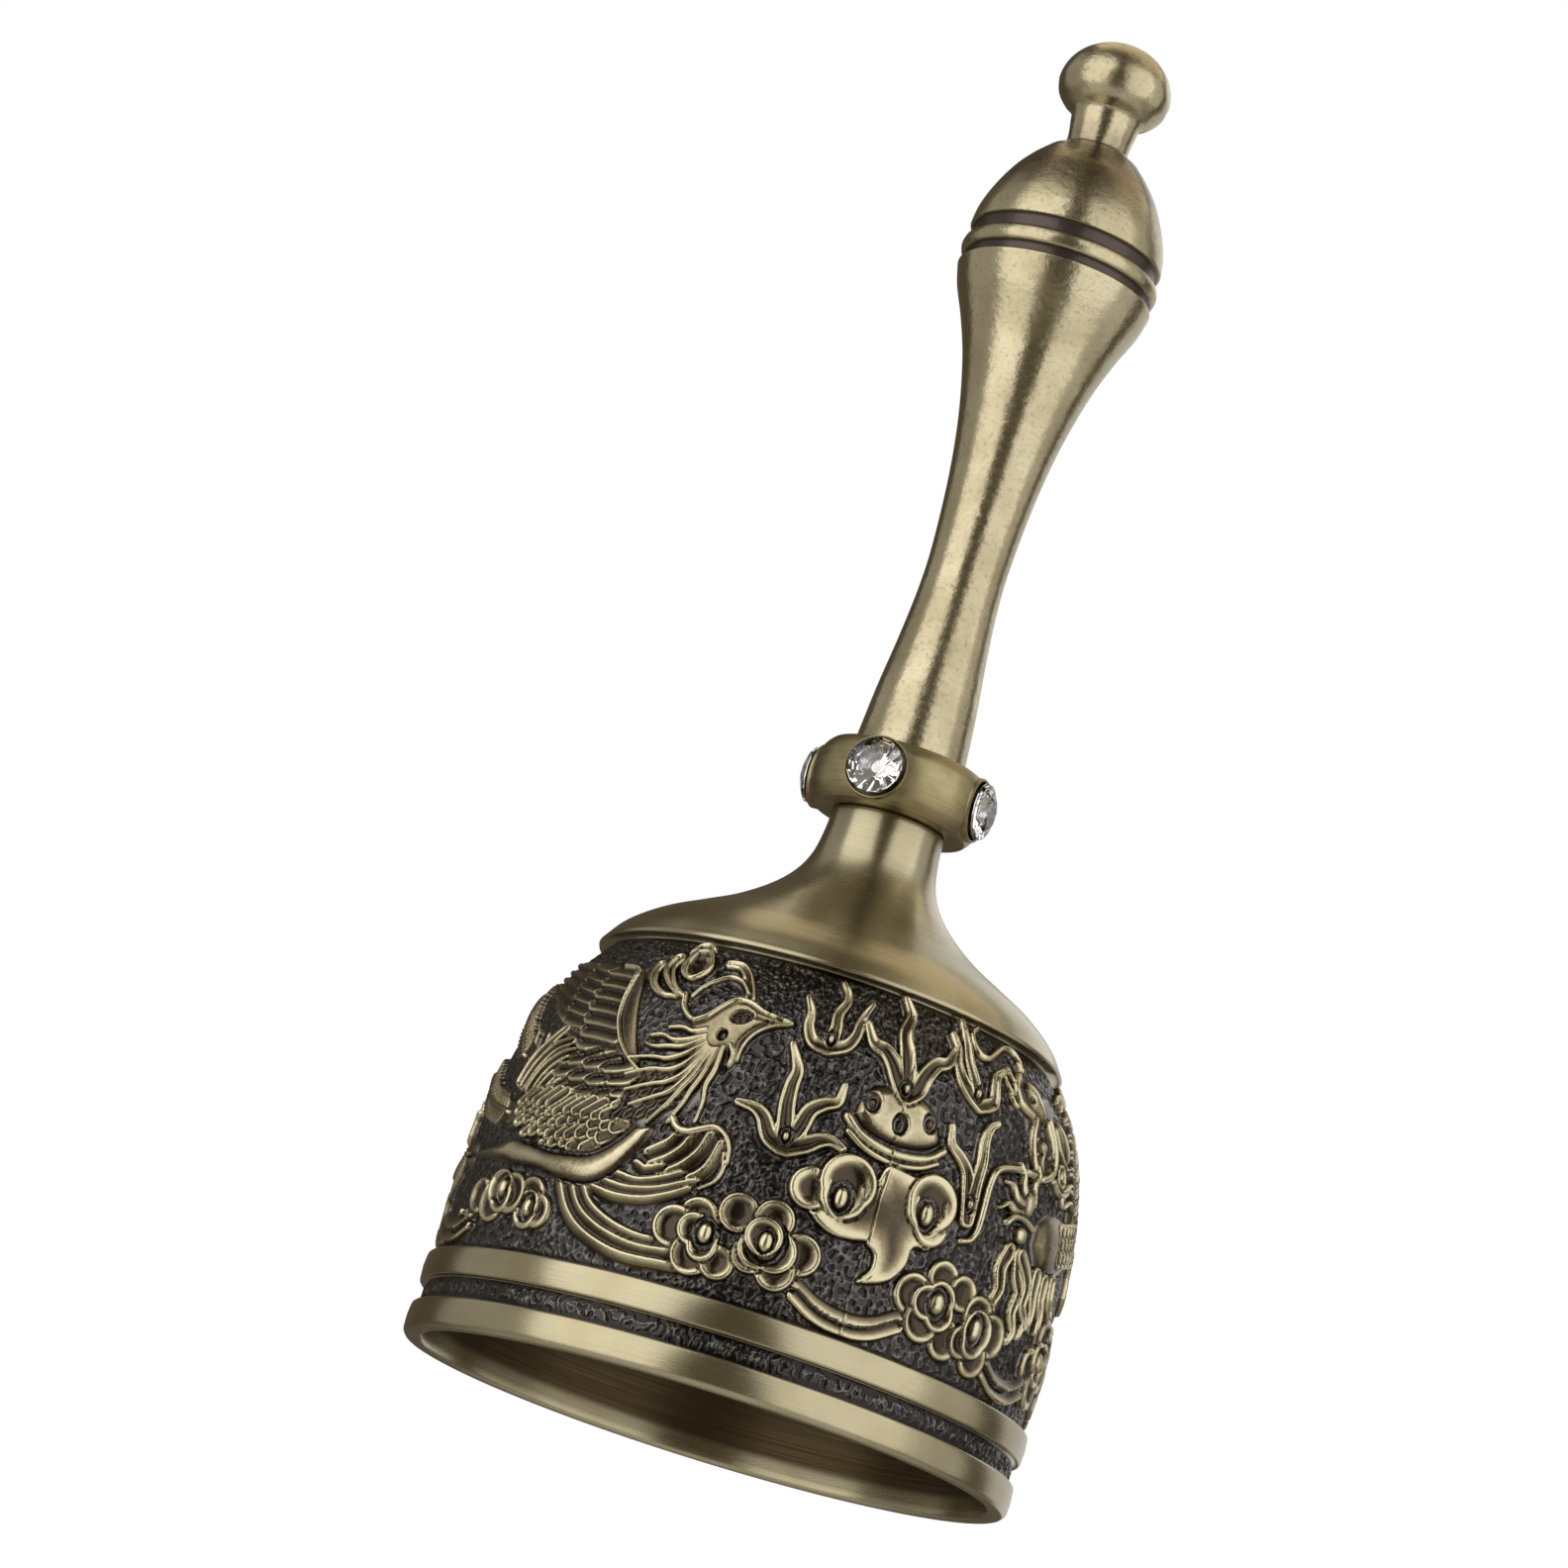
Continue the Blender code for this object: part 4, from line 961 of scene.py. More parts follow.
def bell_casting():
    """The whole casting as one closed skin, with fine columns where it is decorated."""
    fine = np.arange(COLUMNS) / REF_RADIUS * STEP_U
    coarse = fine[::COARSE]
    rows = []          # (angles, radii, heights, raised, zone)

    def plain(outline, zone=TURNED):
        rows.extend((coarse, r, z, 0.0, zone) for r, z in outline)

    foot = softened([(28.2, 0.0), (28.6, 0.0), (28.95, 0.4), (MOUTH_RADIUS, 1.6),
                     (28.9, RIM_HEIGHT), (STRIP_RADIUS, RIM_HEIGHT + 0.05)], 0.3, closed=False)
    plain(foot)

    grains = pebbles(STRIP_ROWS, 23)
    for i in range(STRIP_ROWS):
        t = i / (STRIP_ROWS - 1)
        lift = grains[i] * min(1.0, 3 * t, 3 * (1 - t))
        rows.append((fine, STRIP_RADIUS + 0.25 * lift, 3.0 + 1.9 * t, GRAIN * lift, RELIEF))

    band = softened([(STRIP_RADIUS, STRIP_TOP - 0.05), (28.85, STRIP_TOP), (28.95, 6.4),
                     (28.85, BAND_TOP), (27.9, BAND_TOP + 0.08)], 0.25, closed=False)
    plain(band)

    relief = np.clip(draw_relief(), -0.45, 1.08)
    r0, z0, out_r, out_z = wall_curve()
    for i in range(ROWS):
        lift = -GROUND_INSET + RELIEF_DEPTH * relief[i]
        rows.append((fine, r0[i] + out_r[i] * lift, z0[i] + out_z[i] * lift, relief[i],
                     RELIEF))

    shoulder = flowing([(LIP_RADIUS, LIP_HEIGHT), (21.1, 42.4), (18.6, 44.4), (15.6, 46.1),
                        (12.4, 47.9), (9.4, 50.1), (7.3, 52.3), (6.1, 54.6), (5.6, 57.3),
                        (5.5, NECK_TOP - 0.1)], 6).tolist()
    lip = [(21.5, LIP_HEIGHT - 0.3), (22.35, LIP_HEIGHT - 0.22), (22.55, LIP_HEIGHT - 0.15)]
    spigot = [(5.4, NECK_TOP), (SPIGOT_RADIUS + 0.1, NECK_TOP), (SPIGOT_RADIUS, COLLAR_BOTTOM),
              (SPIGOT_RADIUS, 61.8), (4.5, 61.9), (BORE_RADIUS + 0.1, 61.9),
              (BORE_RADIUS, 61.8), (BORE_RADIUS, CROWN_HEIGHT + 0.2)]
    plain(lip + shoulder + spigot)
    inside = flowing([(7.0, CROWN_HEIGHT), (11.6, 45.6), (16.4, 42.6), (20.4, 38.6),
                      (23.5, 33.0), (25.5, 26.0), (26.5, 18.0), (26.75, 10.0), (27.0, 3.0)],
                     6).tolist()
    plain([(BORE_RADIUS + 0.15, CROWN_HEIGHT), (4.5, CROWN_HEIGHT)] + inside, INSIDE)
    plain([(27.05, 0.9), (27.1, 0.4), (27.2, 0.12), (27.45, 0.0)])

    starts = np.cumsum([0] + [len(row[0]) for row in rows])
    angle, radius, height, raised, zone = (
        np.concatenate([np.broadcast_to(row[k], row[0].shape) for row in rows])
        for k in range(5))
    points = np.column_stack([radius * np.sin(angle), -radius * np.cos(angle), height])

    faces = []
    count = len(rows)
    for i in range(count):
        after = (i + 1) % count
        a, b = starts[i], starts[after]
        na, nb = len(rows[i][0]), len(rows[after][0])
        if na == nb:
            j = np.arange(na)
            k = (j + 1) % na
            faces += np.column_stack([a + j, a + k, b + k, b + j]).tolist()
        else:
            for j in range(len(coarse)):
                k = (j + 1) % len(coarse)
                steps = [(COARSE * j + s) % COLUMNS for s in range(COARSE + 1)]
                if na < nb:
                    faces.append([a + j, a + k] + [b + s for s in reversed(steps)])
                else:
                    faces.append([a + s for s in steps] + [b + k, b + j])

    # how far each point stands proud of its surroundings: hands polish the proud places, and the
    # material paints shade into the sunken ones as well as patina
    soft = spread_blur(relief, 6.5)
    crest = np.zeros(len(points))
    first = starts[len(foot) + STRIP_ROWS + len(band)]
    crest[first:first + COLUMNS * ROWS] = (relief - soft).ravel()
    strip = starts[len(foot)]
    crest[strip:strip + COLUMNS * STRIP_ROWS] = GRAIN * (grains - grains.mean()).ravel()
    return mesh_object("bell_casting", points, faces,
                       {"raised": raised, "crest": crest, "zone": zone})


def turned_handle():
    finial = [(FINIAL_RADIUS * math.cos(math.radians(a)),
               FINIAL_MIDDLE + (OVERALL_HEIGHT - FINIAL_MIDDLE) * math.sin(math.radians(a)))
              for a in range(84, -1, -6)]
    throat = flowing([(FINIAL_RADIUS, FINIAL_MIDDLE), (5.3, 135.2), (4.5, 134.2),
                      (3.55, 133.5), (3.3, 132.4), (3.1, 131.0), (3.1, 129.9)], 3).tolist()
    dome = flowing([(4.6, 129.0), (6.1, 127.4), (7.4, 125.6), (8.6, 123.2), (9.35, 121.0),
                    (9.6, 119.2)], 5).tolist()
    grooves = [(9.1, 119.05), (9.1, 117.85), (9.65, 117.7), (9.85, 117.0), (9.65, 116.3),
               (9.1, 116.15), (9.1, 115.35)]
    grip = flowing([(9.7, 115.2), (9.1, 113.0), (7.85, 110.0), (6.5, 106.0), (5.2, 100.3),
                    (4.35, 94.0), (3.9, 87.0), (3.95, 82.5), (4.35, 77.5), (4.95, 72.0),
                    (5.45, HANDLE_BOTTOM)], 6).tolist()
    bottom = [(SPIGOT_RADIUS, HANDLE_BOTTOM), (SPIGOT_RADIUS, 62.2), (BORE_RADIUS, 62.2),
              (BORE_RADIUS, HANDLE_BORE_TOP), (0.0, HANDLE_BORE_TOP)]
    outline = [(0.0, OVERALL_HEIGHT)] + finial[:-1] + throat + dome + grooves + grip + bottom
    return lathe("turned_handle", softened(outline, 0.22, closed=False), 128, closed=False)


def stone_turn(i):
    """Matrix that takes +Z to the direction of stone i, at the collar's middle."""
    angle = math.radians(FIRST_STONE_ANGLE + 90.0 * i)
    out = Vector((math.cos(angle), math.sin(angle), 0.0))
    side = Vector((0, 0, 1)).cross(out)
    turn = Matrix((side, Vector((0, 0, 1)), out)).transposed().to_4x4()
    return Matrix.Translation((0, 0, COLLAR_MIDDLE * MM)) @ turn


def collar_ring():
    barrel = flowing([(7.45, COLLAR_TOP - 0.05), (7.9, COLLAR_TOP - 0.6),
                      (8.3, COLLAR_TOP - 1.5), (8.5, COLLAR_MIDDLE),
                      (8.3, COLLAR_BOTTOM + 1.5), (7.9, COLLAR_BOTTOM + 0.6),
                      (7.45, COLLAR_BOTTOM + 0.05)], 5).tolist()
    outline = [(7.2, COLLAR_TOP)] + barrel + [
        (7.2, COLLAR_BOTTOM), (COLLAR_BORE, COLLAR_BOTTOM), (COLLAR_BORE, COLLAR_TOP)]
    ring = lathe("collar_ring", softened(outline, 0.2), 160)
    bezel = [(0.0, 6.5), (3.1, 6.5), (3.1, 8.1), (3.05, 8.2), (2.95, 8.24), (2.87, 8.2),
             (2.8, 8.1), (2.8, 7.6), (0.0, 7.6)]
    pocket = [(0.0, 12.0), (2.83, 12.0), (2.83, 6.4), (0.0, 6.4)]
    for outline, operation in ((bezel, 'UNION'), (pocket, 'DIFFERENCE')):
        cut(ring, [moved(lathe("setting", outline, 64, closed=False), stone_turn(i))
                   for i in range(4)], operation)
    ring.data.shade_smooth()
    ring.data.set_sharp_from_angle(angle=math.radians(32))
    return ring


def cut_stone(name, i, glass, foil):
    """Round stone with a table, stars, mains and girdle facets, over its foil cup."""
    # radius, height, corners and first corner's place (in sixteenths of a turn) of each ring:
    # table, stars, the girdle's two edges, culet
    rings = ((1.4, 9.52, 8, 1), (2.1, 9.24, 8, 0), (2.68, 8.86, 16, 0), (2.68, 8.66, 16, 0),
             (0.55, 6.95, 16, 0))
    points = []
    for r, z, corners, first in rings:
        turns = [(16 // corners * k + first) * math.pi / 8 for k in range(corners)]
        points += [(r * math.cos(a), r * math.sin(a), z) for a in turns]
    star, girdle, under, culet = 8, 16, 32, 48       # where each ring after the table starts
    faces = [list(range(8)), [culet + k for k in range(16)]]
    for k in range(8):
        m, left, right = (k + 1) % 8, (2 * k - 1) % 16, (2 * k + 1) % 16
        faces.append([(k - 1) % 8, star + k, k])
        faces.append([k, star + k, girdle + right])
        faces.append([k, girdle + right, star + m])
        faces.append([star + k, girdle + 2 * k, girdle + right])
        faces.append([star + k, girdle + left, girdle + 2 * k])
    for k in range(16):
        m = (k + 1) % 16
        faces.append([girdle + k, under + k, under + m, girdle + m])
        faces.append([under + k, culet + k, culet + m, under + m])
    stone = face_outwards(mesh_object("glass", points, faces))
    cup = lathe("cup", [(0.0, 6.85), (0.62, 6.85), (2.76, 8.6), (2.76, 8.5), (0.7, 6.7),
                        (0.0, 6.7)], 16, closed=False)
    glass_faces = len(stone.data.polygons)
    both = joined([stone, cup], name)
    both.data.shade_flat()
    both.data.materials.append(glass)
    both.data.materials.append(foil)
    for face in both.data.polygons:
        face.material_index = int(face.index >= glass_faces)
    return moved(both, stone_turn(i))


def clapper_ball():
    steep = math.acos(BALL_FLAT / BALL_RADIUS)
    arc = [(BALL_RADIUS * math.cos(a), BALL_MIDDLE + BALL_RADIUS * math.sin(a))
           for a in np.linspace(steep, -steep, 21)]
    outline = softened([(BALL_BORE, arc[0][1])] + arc + [(BALL_BORE, arc[-1][1])], 0.25)
    return lathe("turned_ball", outline, 72)


# --- finishes ---------------------------------------------------------------

class Finish:
    """A node material put together one step at a time, on object coordinates."""

    def __init__(self, name, metallic=1.0, roughness=0.3):
        self.material = bpy.data.materials.new(name)
        self.material.use_nodes = True
        self.tree = self.material.node_tree
        self.shader = self.tree.nodes["Principled BSDF"]
        self.shader.inputs["Metallic"].default_value = metallic
        self.shader.inputs["Roughness"].default_value = roughness
        self.place = self.tree.nodes.new("ShaderNodeTexCoord").outputs["Object"]

    def feed(self, socket, value):
        if isinstance(value, bpy.types.NodeSocket):
            self.tree.links.new(value, socket)
        elif isinstance(value, tuple) and len(value) == 3 and socket.type == 'RGBA':
            socket.default_value = (*value, 1.0)
        else:
            socket.default_value = value

    def set(self, key, value):
        self.feed(self.shader.inputs[key], value)

    def attribute(self, name):
        node = self.tree.nodes.new("ShaderNodeAttribute")
        node.attribute_name = name
        return node.outputs["Fac"]

    def noise(self, size_mm, detail, stretch=(1.0, 1.0, 1.0), roughness=0.5):
        """Noise with features about size_mm wide, longer along an axis stretched below 1."""
        mapping = self.tree.nodes.new("ShaderNodeMapping")
        self.feed(mapping.inputs["Vector"], self.place)
        self.feed(mapping.inputs["Scale"], stretch)
        node = self.tree.nodes.new("ShaderNodeTexNoise")
        self.feed(node.inputs["Vector"], mapping.outputs[0])
        self.feed(node.inputs["Scale"], 1.0 / (size_mm * MM))
        self.feed(node.inputs["Detail"], detail)
        self.feed(node.inputs["Roughness"], roughness)
        return node.outputs["Fac"]

    def math(self, operation, a, b=0.0, clamp=False):
        node = self.tree.nodes.new("ShaderNodeMath")
        node.operation = operation
        node.use_clamp = clamp
        self.feed(node.inputs[0], a)
        self.feed(node.inputs[1], b)
        return node.outputs[0]

    def plus(self, a, b, clamp=False):
        return self.math('ADD', a, b, clamp)

    def times(self, a, b):
        return self.math('MULTIPLY', a, b)

    def scale(self, value, low, high, to_low=0.0, to_high=1.0):
        """Soft step of a value, from to_low at low to to_high at high."""
        node = self.tree.nodes.new("ShaderNodeMapRange")
        node.interpolation_type = 'SMOOTHSTEP'
        for key, v in zip(("Value", "From Min", "From Max", "To Min", "To Max"),
                          (value, low, high, to_low, to_high)):
            self.feed(node.inputs[key], v)
        return node.outputs["Result"]

    def mix(self, factor, a, b):
        node = self.tree.nodes.new("ShaderNodeMix")
        node.data_type = 'RGBA'
        self.feed(node.inputs["Factor"], factor)
        colours = [s for s in node.inputs if s.type == 'RGBA']
        self.feed(colours[0], a)
        self.feed(colours[1], b)
        return next(s for s in node.outputs if s.type == 'RGBA')

    def blend(self, factor, a, b):
        node = self.tree.nodes.new("ShaderNodeMix")
        node.data_type = 'FLOAT'
        self.feed(node.inputs[0], factor)
        self.feed(node.inputs[2], a)
        self.feed(node.inputs[3], b)
        return node.outputs[0]

    def bump(self, height, depth_mm, strength, under=None):
        node = self.tree.nodes.new("ShaderNodeBump")
        self.feed(node.inputs["Height"], height)
        self.feed(node.inputs["Distance"], depth_mm * MM)
        self.feed(node.inputs["Strength"], strength)
        if under is not None:
            self.feed(node.inputs["Normal"], under)
        return node.outputs["Normal"]

    def lacquered(self):
        """The finished material, under a thin clear coat."""
        self.set("Coat Weight", 0.25)
        self.set("Coat Roughness", 0.15)
        return self.material

    def rings(self, amount):
        """Stretch the highlights across the lathe marks, which run round the axis."""
        tangent = self.tree.nodes.new("ShaderNodeTangent")
        tangent.direction_type = 'RADIAL'
        tangent.axis = 'Z'
        self.set("Tangent", tangent.outputs[0])
        self.set("Anisotropic", amount)
        self.set("Anisotropic Rotation", 0.25)


# Brass from its brightest rubbed edge down to the darkest pits; the inside and dome tones carry
# painted shade as well
RUBBED_EDGE = (0.55, 0.495, 0.325)
WORN_GRIP = (0.535, 0.475, 0.320)
PALE_BRASS = (0.46, 0.415, 0.285)
OLIVE_BRASS = (0.34, 0.29, 0.15)
WARM_BRASS = (0.31, 0.255, 0.135)
OLIVE_SHADE = (0.24, 0.19, 0.095)
AGED_BRASS = (0.200, 0.160, 0.088)
INSIDE_BRASS_AND_PAINTED_SHADE = (0.175, 0.125, 0.065)
DARK_BROWN_AND_PAINTED_SHADE = (0.135, 0.098, 0.070)
INSIDE_MARKS_AND_PAINTED_SHADE = (0.07, 0.049, 0.026)
BROWN_PATINA = (0.050, 0.038, 0.024)
# The blackened ground and the paint in the handle's grooves
GUNMETAL = (0.150, 0.139, 0.128)
PURPLE_BROWN = (0.085, 0.064, 0.055)
PIT_BLACK = (0.017, 0.015, 0.013)


def casting_finish():
    f = Finish("antique_bell_brass")
    raised, crest, zone = (f.attribute(k) for k in ("raised", "crest", "zone"))
    turned = f.scale(zone, 0.3, 0.7)
    inside = f.scale(zone, 1.3, 1.7)
    patches = f.noise(6.0, 4.0)
    grain = f.noise(0.35, 3.0)
    lathe_marks = f.noise(14.0, 3.0, (1.0, 1.0, 220.0), 0.65)

    # brass shows where hands rub, on high and proud places, unevenly; low and sunken places get
    # dark patina deepened by painted shade
    rubbed_and_painted_shade = f.plus(f.scale(raised, 0.25, 1.02, 0.0, 0.58),
                    f.scale(crest, -0.22, 0.36, -0.28, 0.48))
    rubbed_and_painted_shade = f.plus(rubbed_and_painted_shade, f.scale(patches, 0.3, 0.7, -0.10, 0.10))
    rubbed_and_painted_shade = f.plus(rubbed_and_painted_shade, f.scale(grain, 0.3, 0.7, -0.05, 0.05), True)
    grains = f.mix(f.scale(raised, 0.05, 0.24), PIT_BLACK, GUNMETAL)
    ground = f.mix(f.scale(raised, 0.26, 0.33), grains, BROWN_PATINA)
    # painted shade darkens the hollows and the ground round each motif along with their patina;
    # proud places show rubbed brass
    cast = f.mix(f.scale(rubbed_and_painted_shade, 0.05, 0.60), ground, AGED_BRASS)
    cast = f.mix(f.scale(rubbed_and_painted_shade, 0.45, 1.00), cast, RUBBED_EDGE)
    satin = f.mix(f.scale(lathe_marks, 0.3, 0.8, 0.1, 0.4), PALE_BRASS, WARM_BRASS)
    satin = f.mix(f.scale(patches, 0.35, 0.7, 0.1, 0.55), satin, WARM_BRASS)
    # inside the bell: duller cast brass, darkened further as painted shade for its shadowed
    # hollow
    hollow = f.mix(f.scale(lathe_marks, 0.3, 0.7), INSIDE_BRASS_AND_PAINTED_SHADE, INSIDE_MARKS_AND_PAINTED_SHADE)
    outside = f.mix(turned, cast, satin)
    f.set("Base Color", f.mix(inside, outside, hollow))

    rough_cast = f.plus(f.scale(rubbed_and_painted_shade, 0.0, 1.0, 0.22, 0.19),
                        f.scale(grain, 0.3, 0.7, -0.04, 0.05))
    rough_turned = f.scale(lathe_marks, 0.25, 0.75, 0.25, 0.31)
    rough = f.blend(turned, rough_cast, rough_turned)
    f.set("Roughness", f.blend(inside, rough, 0.40))
    f.rings(f.scale(zone, 0.3, 0.7, 0.0, 0.75))

    speckle = f.noise(0.50, 2.0)
    on_ground = f.times(f.scale(zone, 0.3, 0.7, 1.0, 0.0), f.scale(raised, 0.22, 0.34, 1.0, 0.0))
    lumps = f.bump(speckle, 0.05, on_ground)
    fine = f.bump(f.noise(0.16, 2.0), 0.02, f.scale(zone, 0.3, 0.7, 1.0, 0.15), lumps)
    f.set("Normal", f.bump(lathe_marks, 0.007, f.scale(zone, 0.3, 0.7, 0.0, 1.0), fine))
    return f.lacquered()


def handle_finish():
    f = Finish("antique_handle_brass")
    patches = f.noise(5.0, 4.0)
    pits = f.noise(0.45, 3.0, roughness=0.6)
    marks = f.noise(7.0, 3.0, (1.0, 1.0, 60.0), 0.65)
    xyz = f.tree.nodes.new("ShaderNodeSeparateXYZ")
    f.feed(xyz.inputs[0], f.place)
    x, y, z = (xyz.outputs[k] for k in "XYZ")
    radius = f.times(f.math('SQRT', f.plus(f.times(x, x), f.times(y, y))), 1 / MM)
    height = f.times(z, 1 / MM)
    level = f.times(f.scale(height, 115.15, 115.3), f.scale(height, 119.3, 119.15))
    groove = f.times(level, f.scale(radius, 9.5, 9.2))
    worn = f.mix(f.scale(patches, 0.3, 0.7, 0.15, 0.6), WORN_GRIP, WARM_BRASS)
    # the dome's upper part is painted darker, brown patina with painted shade; the foot turns
    # darker towards the bottom, by the collar
    dome = f.times(f.scale(height, 121.0, 125.5), f.scale(height, 133.0, 129.5))
    foot = f.scale(height, 72.0, 55.0)
    shade = f.times(f.math('MAXIMUM', dome, foot), f.scale(patches, 0.30, 0.58))
    colour = f.mix(f.times(shade, 0.75), worn, DARK_BROWN_AND_PAINTED_SHADE)
    colour = f.mix(f.scale(pits, 0.52, 0.80, 0.0, 0.4), colour, BROWN_PATINA)
    colour = f.mix(f.scale(marks, 0.45, 0.8, 0.0, 0.35), colour, WARM_BRASS)
    f.set("Base Color", f.mix(groove, colour, PURPLE_BROWN))
    rough = f.plus(f.scale(patches, 0.3, 0.7, 0.25, 0.32),
                   f.scale(pits, 0.4, 0.8, -0.03, 0.08))
    f.set("Roughness", f.blend(groove, rough, 0.45))
    f.rings(0.6)
    uneven = f.bump(f.noise(1.8, 3.0, (1.0, 1.0, 1.8)), 0.11, 0.6)
    f.set("Normal", f.bump(marks, 0.02, 0.5, f.bump(pits, 0.035, 0.5, uneven)))
    return f.lacquered()


def collar_finish():
    f = Finish("collar_brass")
    patches = f.noise(3.0, 4.0)
    marks = f.noise(5.0, 3.0, (1.0, 1.0, 50.0), 0.65)
    colour = f.mix(f.scale(patches, 0.3, 0.7), OLIVE_BRASS, OLIVE_SHADE)
    f.set("Base Color", f.mix(f.scale(marks, 0.4, 0.75, 0.0, 0.4), colour, PALE_BRASS))
    f.set("Roughness", f.scale(marks, 0.3, 0.7, 0.30, 0.42))
    f.rings(0.3)
    f.set("Normal", f.bump(marks, 0.02, 0.7))
    return f.material


def stone_finish():
    f = Finish("clear_stone", metallic=0.0, roughness=0.0)
    tint = f.noise(1.5, 2.0)
    f.set("Base Color", f.mix(tint, (1.0, 1.0, 1.0), (0.93, 0.95, 0.97)))
    f.set("Roughness", f.scale(tint, 0.3, 0.7, 0.0, 0.02))
    f.set("Transmission Weight", 1.0)
    f.set("IOR", 1.62)
    return f.material


def foil_finish():
    f = Finish("silver_foil")
    crinkle = f.noise(0.7, 3.0)
    f.set("Base Color", f.mix(crinkle, (0.70, 0.69, 0.67), (0.40, 0.39, 0.38)))
    f.set("Roughness", f.scale(crinkle, 0.3, 0.7, 0.10, 0.25))
    f.set("Normal", f.bump(crinkle, 0.05, 0.5))
    return f.material


def hardware_finish(name, colour, dull, roughness, ringed=0.0):
    """Plain wire or turned hardware: tarnish in patches and fine drawing marks."""
    f = Finish(name)
    patches = f.noise(1.8, 4.0)
    grain = f.noise(0.2, 3.0)
    f.set("Base Color", f.mix(f.scale(patches, 0.35, 0.7), colour, dull))
    f.set("Roughness", f.plus(f.scale(patches, 0.3, 0.7, roughness, roughness + 0.14),
                              f.scale(grain, 0.3, 0.7, -0.03, 0.04)))
    if ringed:
        f.rings(ringed)
    f.set("Normal", f.bump(grain, 0.02, 0.5))
    return f.material


def floor_finish():
    """Pale floor that looks brighter to the camera than it lights the bell."""
    f = Finish("pale_floor", metallic=0.0, roughness=0.7)
    pale = f.mix(f.noise(400.0, 2.0), (0.80, 0.80, 0.79), (0.84, 0.84, 0.83))
    f.set("Base Color", pale)
    seen = f.tree.nodes.new("ShaderNodeLightPath").outputs["Is Camera Ray"]
    f.set("Emission Color", pale)
    f.set("Emission Strength", f.times(seen, 0.65))
    return f.material


def painted(item, material):
    item.data.materials.clear()
    item.data.materials.append(material)
    return item


# --- studio -----------------------------------------------------------------

CAMERA_DISTANCE = 0.4845
CAMERA_HEIGHT = -0.055
CAMERA_YAW = -1.249
CAMERA_PITCH = 13.38
CAMERA_ROLL = 17.445
CAMERA_LENS = 121.04
FLOOR_HEIGHT = -0.60
SOFTBOX_REACH = 0.75
BELL_MIDDLE = (0.0, 0.0, 0.06)
WARM_WHITE = (1.0, 0.86, 0.60)
ROOM_GLOW = (1.0, 0.82, 0.56, 1.0)


def softbox(name, place, size, glow, tint=(1.0, 1.0, 1.0)):
    """Rectangular lamp that faces the bell's middle, as bright as glow at any size."""
    lamp = bpy.data.lights.new(name, 'AREA')
    lamp.color = tint
    lamp.shape = 'RECTANGLE'
    lamp.size, lamp.size_y = size
    lamp.energy = glow * math.pi * size[0] * size[1]
    item = bpy.data.objects.new(name, lamp)
    item.location = place
    item.rotation_mode = 'QUATERNION'
    towards = Vector(BELL_MIDDLE) - Vector(place)
    item.rotation_quaternion = towards.to_track_quat('-Z', 'Y')
    bpy.context.collection.objects.link(item)


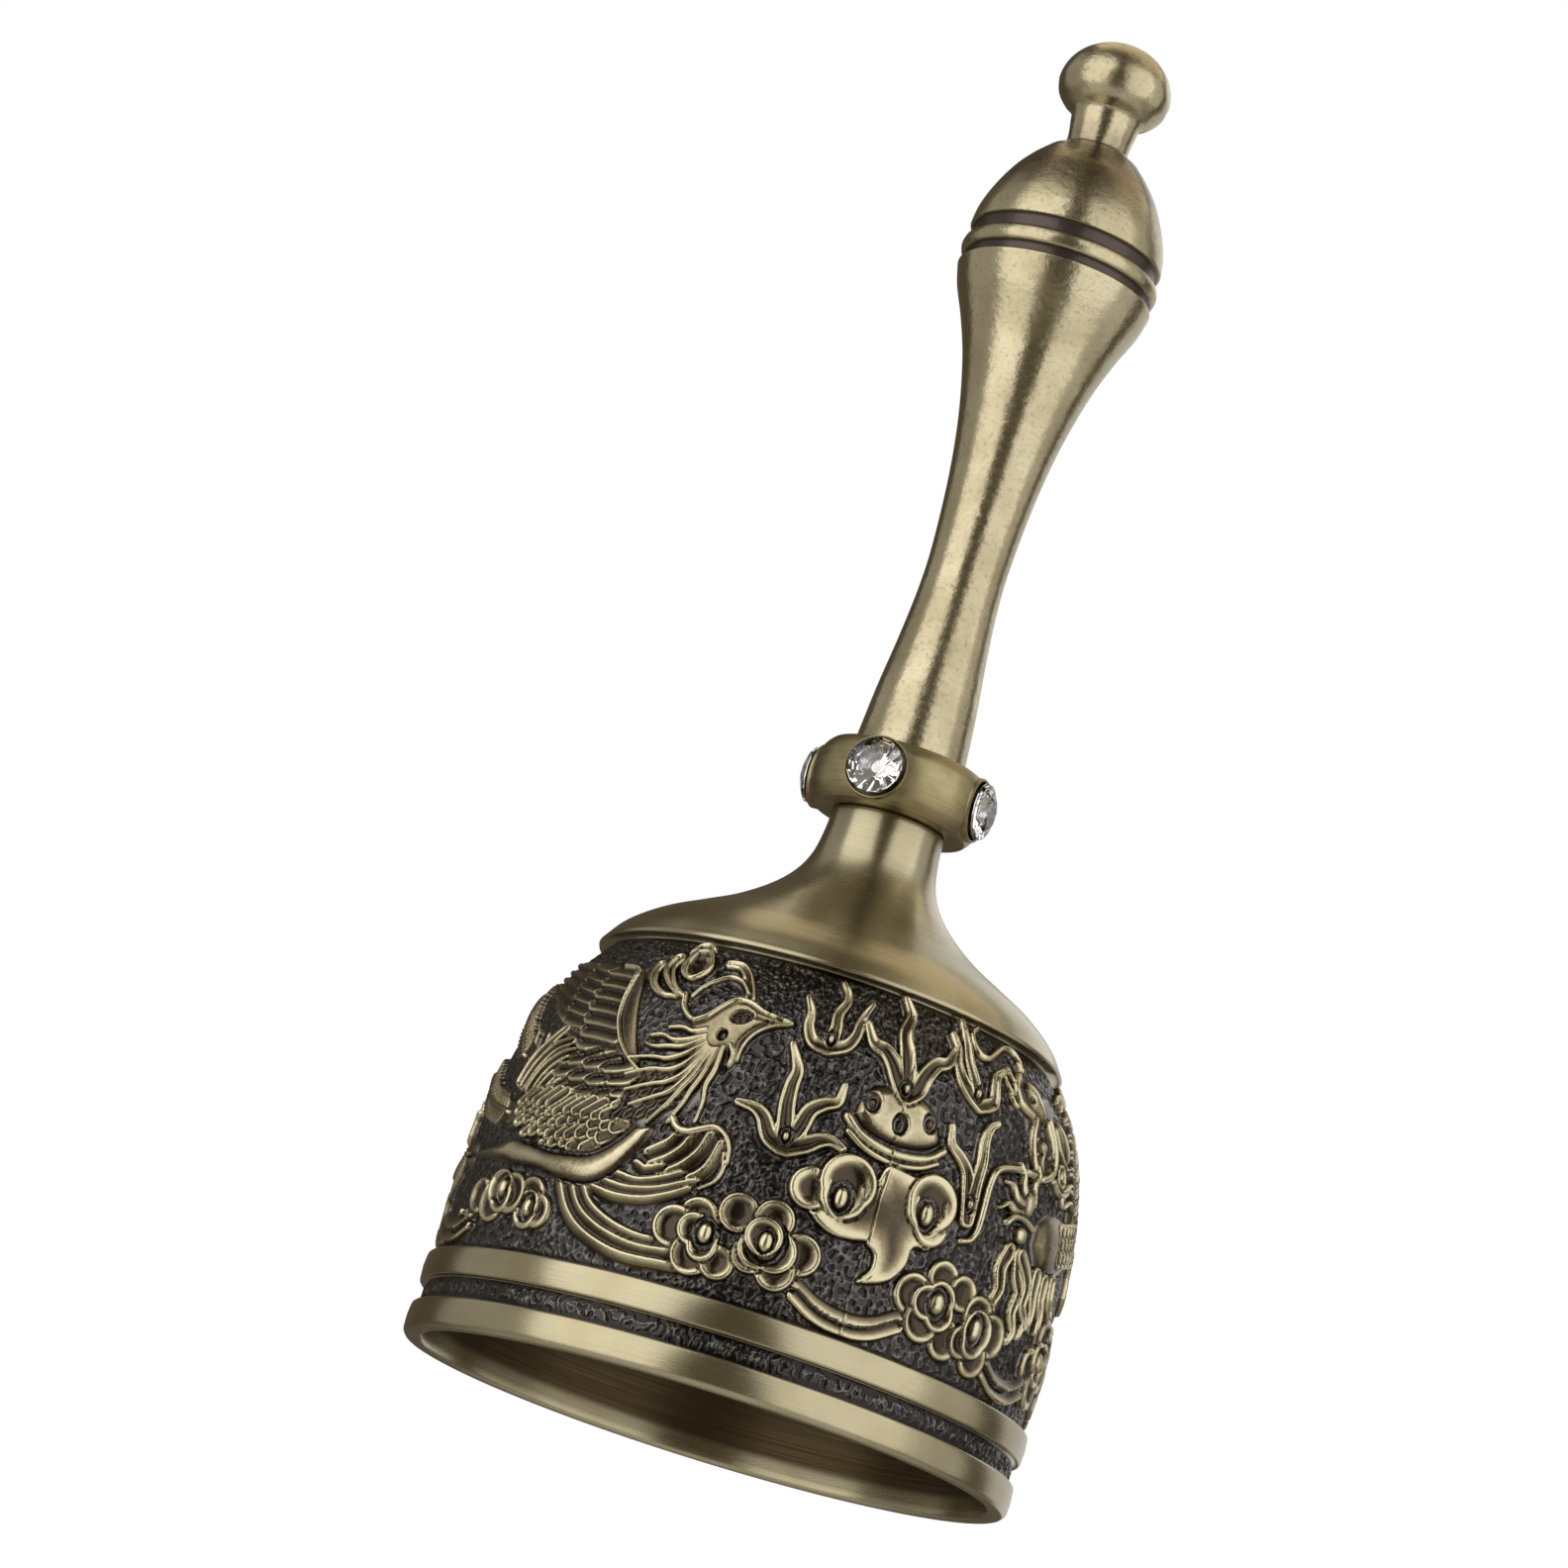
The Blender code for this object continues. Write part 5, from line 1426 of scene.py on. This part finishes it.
def studio():
    yaw, pitch, roll = (math.radians(a) for a in (CAMERA_YAW, CAMERA_PITCH, CAMERA_ROLL))
    ahead = Vector((math.sin(yaw) * math.cos(pitch), math.cos(yaw) * math.cos(pitch),
                    math.sin(pitch)))
    right = Vector((math.cos(yaw), -math.sin(yaw), 0.0))
    up = right.cross(ahead)
    side = math.cos(roll) * right + math.sin(roll) * up
    top = -math.sin(roll) * right + math.cos(roll) * up
    camera = bpy.data.objects.new("camera", bpy.data.cameras.new("camera"))
    camera.data.lens = CAMERA_LENS
    camera.data.sensor_width = 36.0
    camera.data.clip_start, camera.data.clip_end = 0.01, 20.0
    camera.matrix_world = Matrix.Translation((0, -CAMERA_DISTANCE, CAMERA_HEIGHT)) @ Matrix(
        (side, top, -ahead)).transposed().to_4x4()
    bpy.context.collection.objects.link(camera)
    bpy.context.scene.camera = camera

    for name, azimuth, height, size, glow in (
            ("key_left", -47.0, 0.24, (0.82, 1.5), 1.66),
            ("key_right", 46.0, 0.24, (0.86, 1.5), 1.32),
            ("side_left", -100.0, 0.20, (0.7, 1.2), 0.38),
            ("side_right", 90.0, 0.20, (0.5, 1.2), 0.62),
            ("rear_right", 148.0, 0.20, (0.6, 0.9), 0.60)):
        around = math.radians(azimuth)
        place = (SOFTBOX_REACH * math.sin(around), -SOFTBOX_REACH * math.cos(around), height)
        softbox(name, place, size, glow)
    softbox("ceiling", (0.15, 0.36, 1.0), (1.1, 0.7), 0.80, WARM_WHITE)
    softbox("back", (0.30, 0.75, 0.65), (0.9, 0.6), 0.35)

    # the camera sees a white room, and the bell is lit by a dimmer, warmer one
    world = bpy.data.worlds.new("studio")
    world.use_nodes = True
    nodes, links = world.node_tree.nodes, world.node_tree.links
    nodes.clear()
    seen, lit = nodes.new("ShaderNodeBackground"), nodes.new("ShaderNodeBackground")
    seen.inputs["Color"].default_value = (1.0, 1.0, 1.0, 1.0)
    lit.inputs["Color"].default_value = ROOM_GLOW
    lit.inputs["Strength"].default_value = 0.11
    choice, ray = nodes.new("ShaderNodeMixShader"), nodes.new("ShaderNodeLightPath")
    out = nodes.new("ShaderNodeOutputWorld")
    links.new(ray.outputs["Is Camera Ray"], choice.inputs[0])
    links.new(lit.outputs[0], choice.inputs[1])
    links.new(seen.outputs[0], choice.inputs[2])
    links.new(choice.outputs[0], out.inputs[0])
    bpy.context.scene.world = world
    bpy.context.scene.view_settings.view_transform = 'Standard'

    bm = bmesh.new()
    bmesh.ops.create_circle(bm, cap_ends=True, segments=96, radius=2.5)
    mesh = bpy.data.meshes.new("floor")
    bm.to_mesh(mesh)
    bm.free()
    floor = bpy.data.objects.new("floor", mesh)
    floor.location = (0.0, 0.0, FLOOR_HEIGHT)
    bpy.context.collection.objects.link(floor)
    painted(floor, floor_finish())


# --- assembly ---------------------------------------------------------------

def stand_in(item, node, body):
    """The detailed piece takes a CAD node's place on its body."""
    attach(item, body)
    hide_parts(node)


def main():
    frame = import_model()
    studio()

    stand_in(painted(bell_casting(), casting_finish()), "bell_body", "bell")
    stand_in(painted(turned_handle(), handle_finish()), "handle", "bell")
    stand_in(painted(collar_ring(), collar_finish()), "jewel_collar", "bell")
    glass, foil = stone_finish(), foil_finish()
    for i, name in enumerate(STONE_NAMES):
        stand_in(cut_stone(f"cut_{name}", i, glass, foil), name, "bell")
    ball = hardware_finish("ball_brass_finish", (0.42, 0.33, 0.17), (0.22, 0.16, 0.08), 0.28,
                           0.3)
    stand_in(painted(clapper_ball(), ball), "clapper_ball", "clapper")
    ring = hardware_finish("ring_brass_finish", (0.48, 0.38, 0.20), (0.28, 0.20, 0.10), 0.26)
    stand_in(painted(hanger_ring(), ring), "hanger_ring", "hanger")
    rod = hardware_finish("rod_brass_finish", (0.45, 0.35, 0.18), (0.25, 0.18, 0.09), 0.30)
    zinc = hardware_finish("zinc_finish", (0.56, 0.55, 0.52), (0.38, 0.37, 0.35), 0.30)
    for node, material in (("clapper_rod", rod), ("eye_stud", zinc), ("crown_washer", zinc),
                           ("crown_nut", zinc)):
        painted(frame["nodes"][node], material)


main()
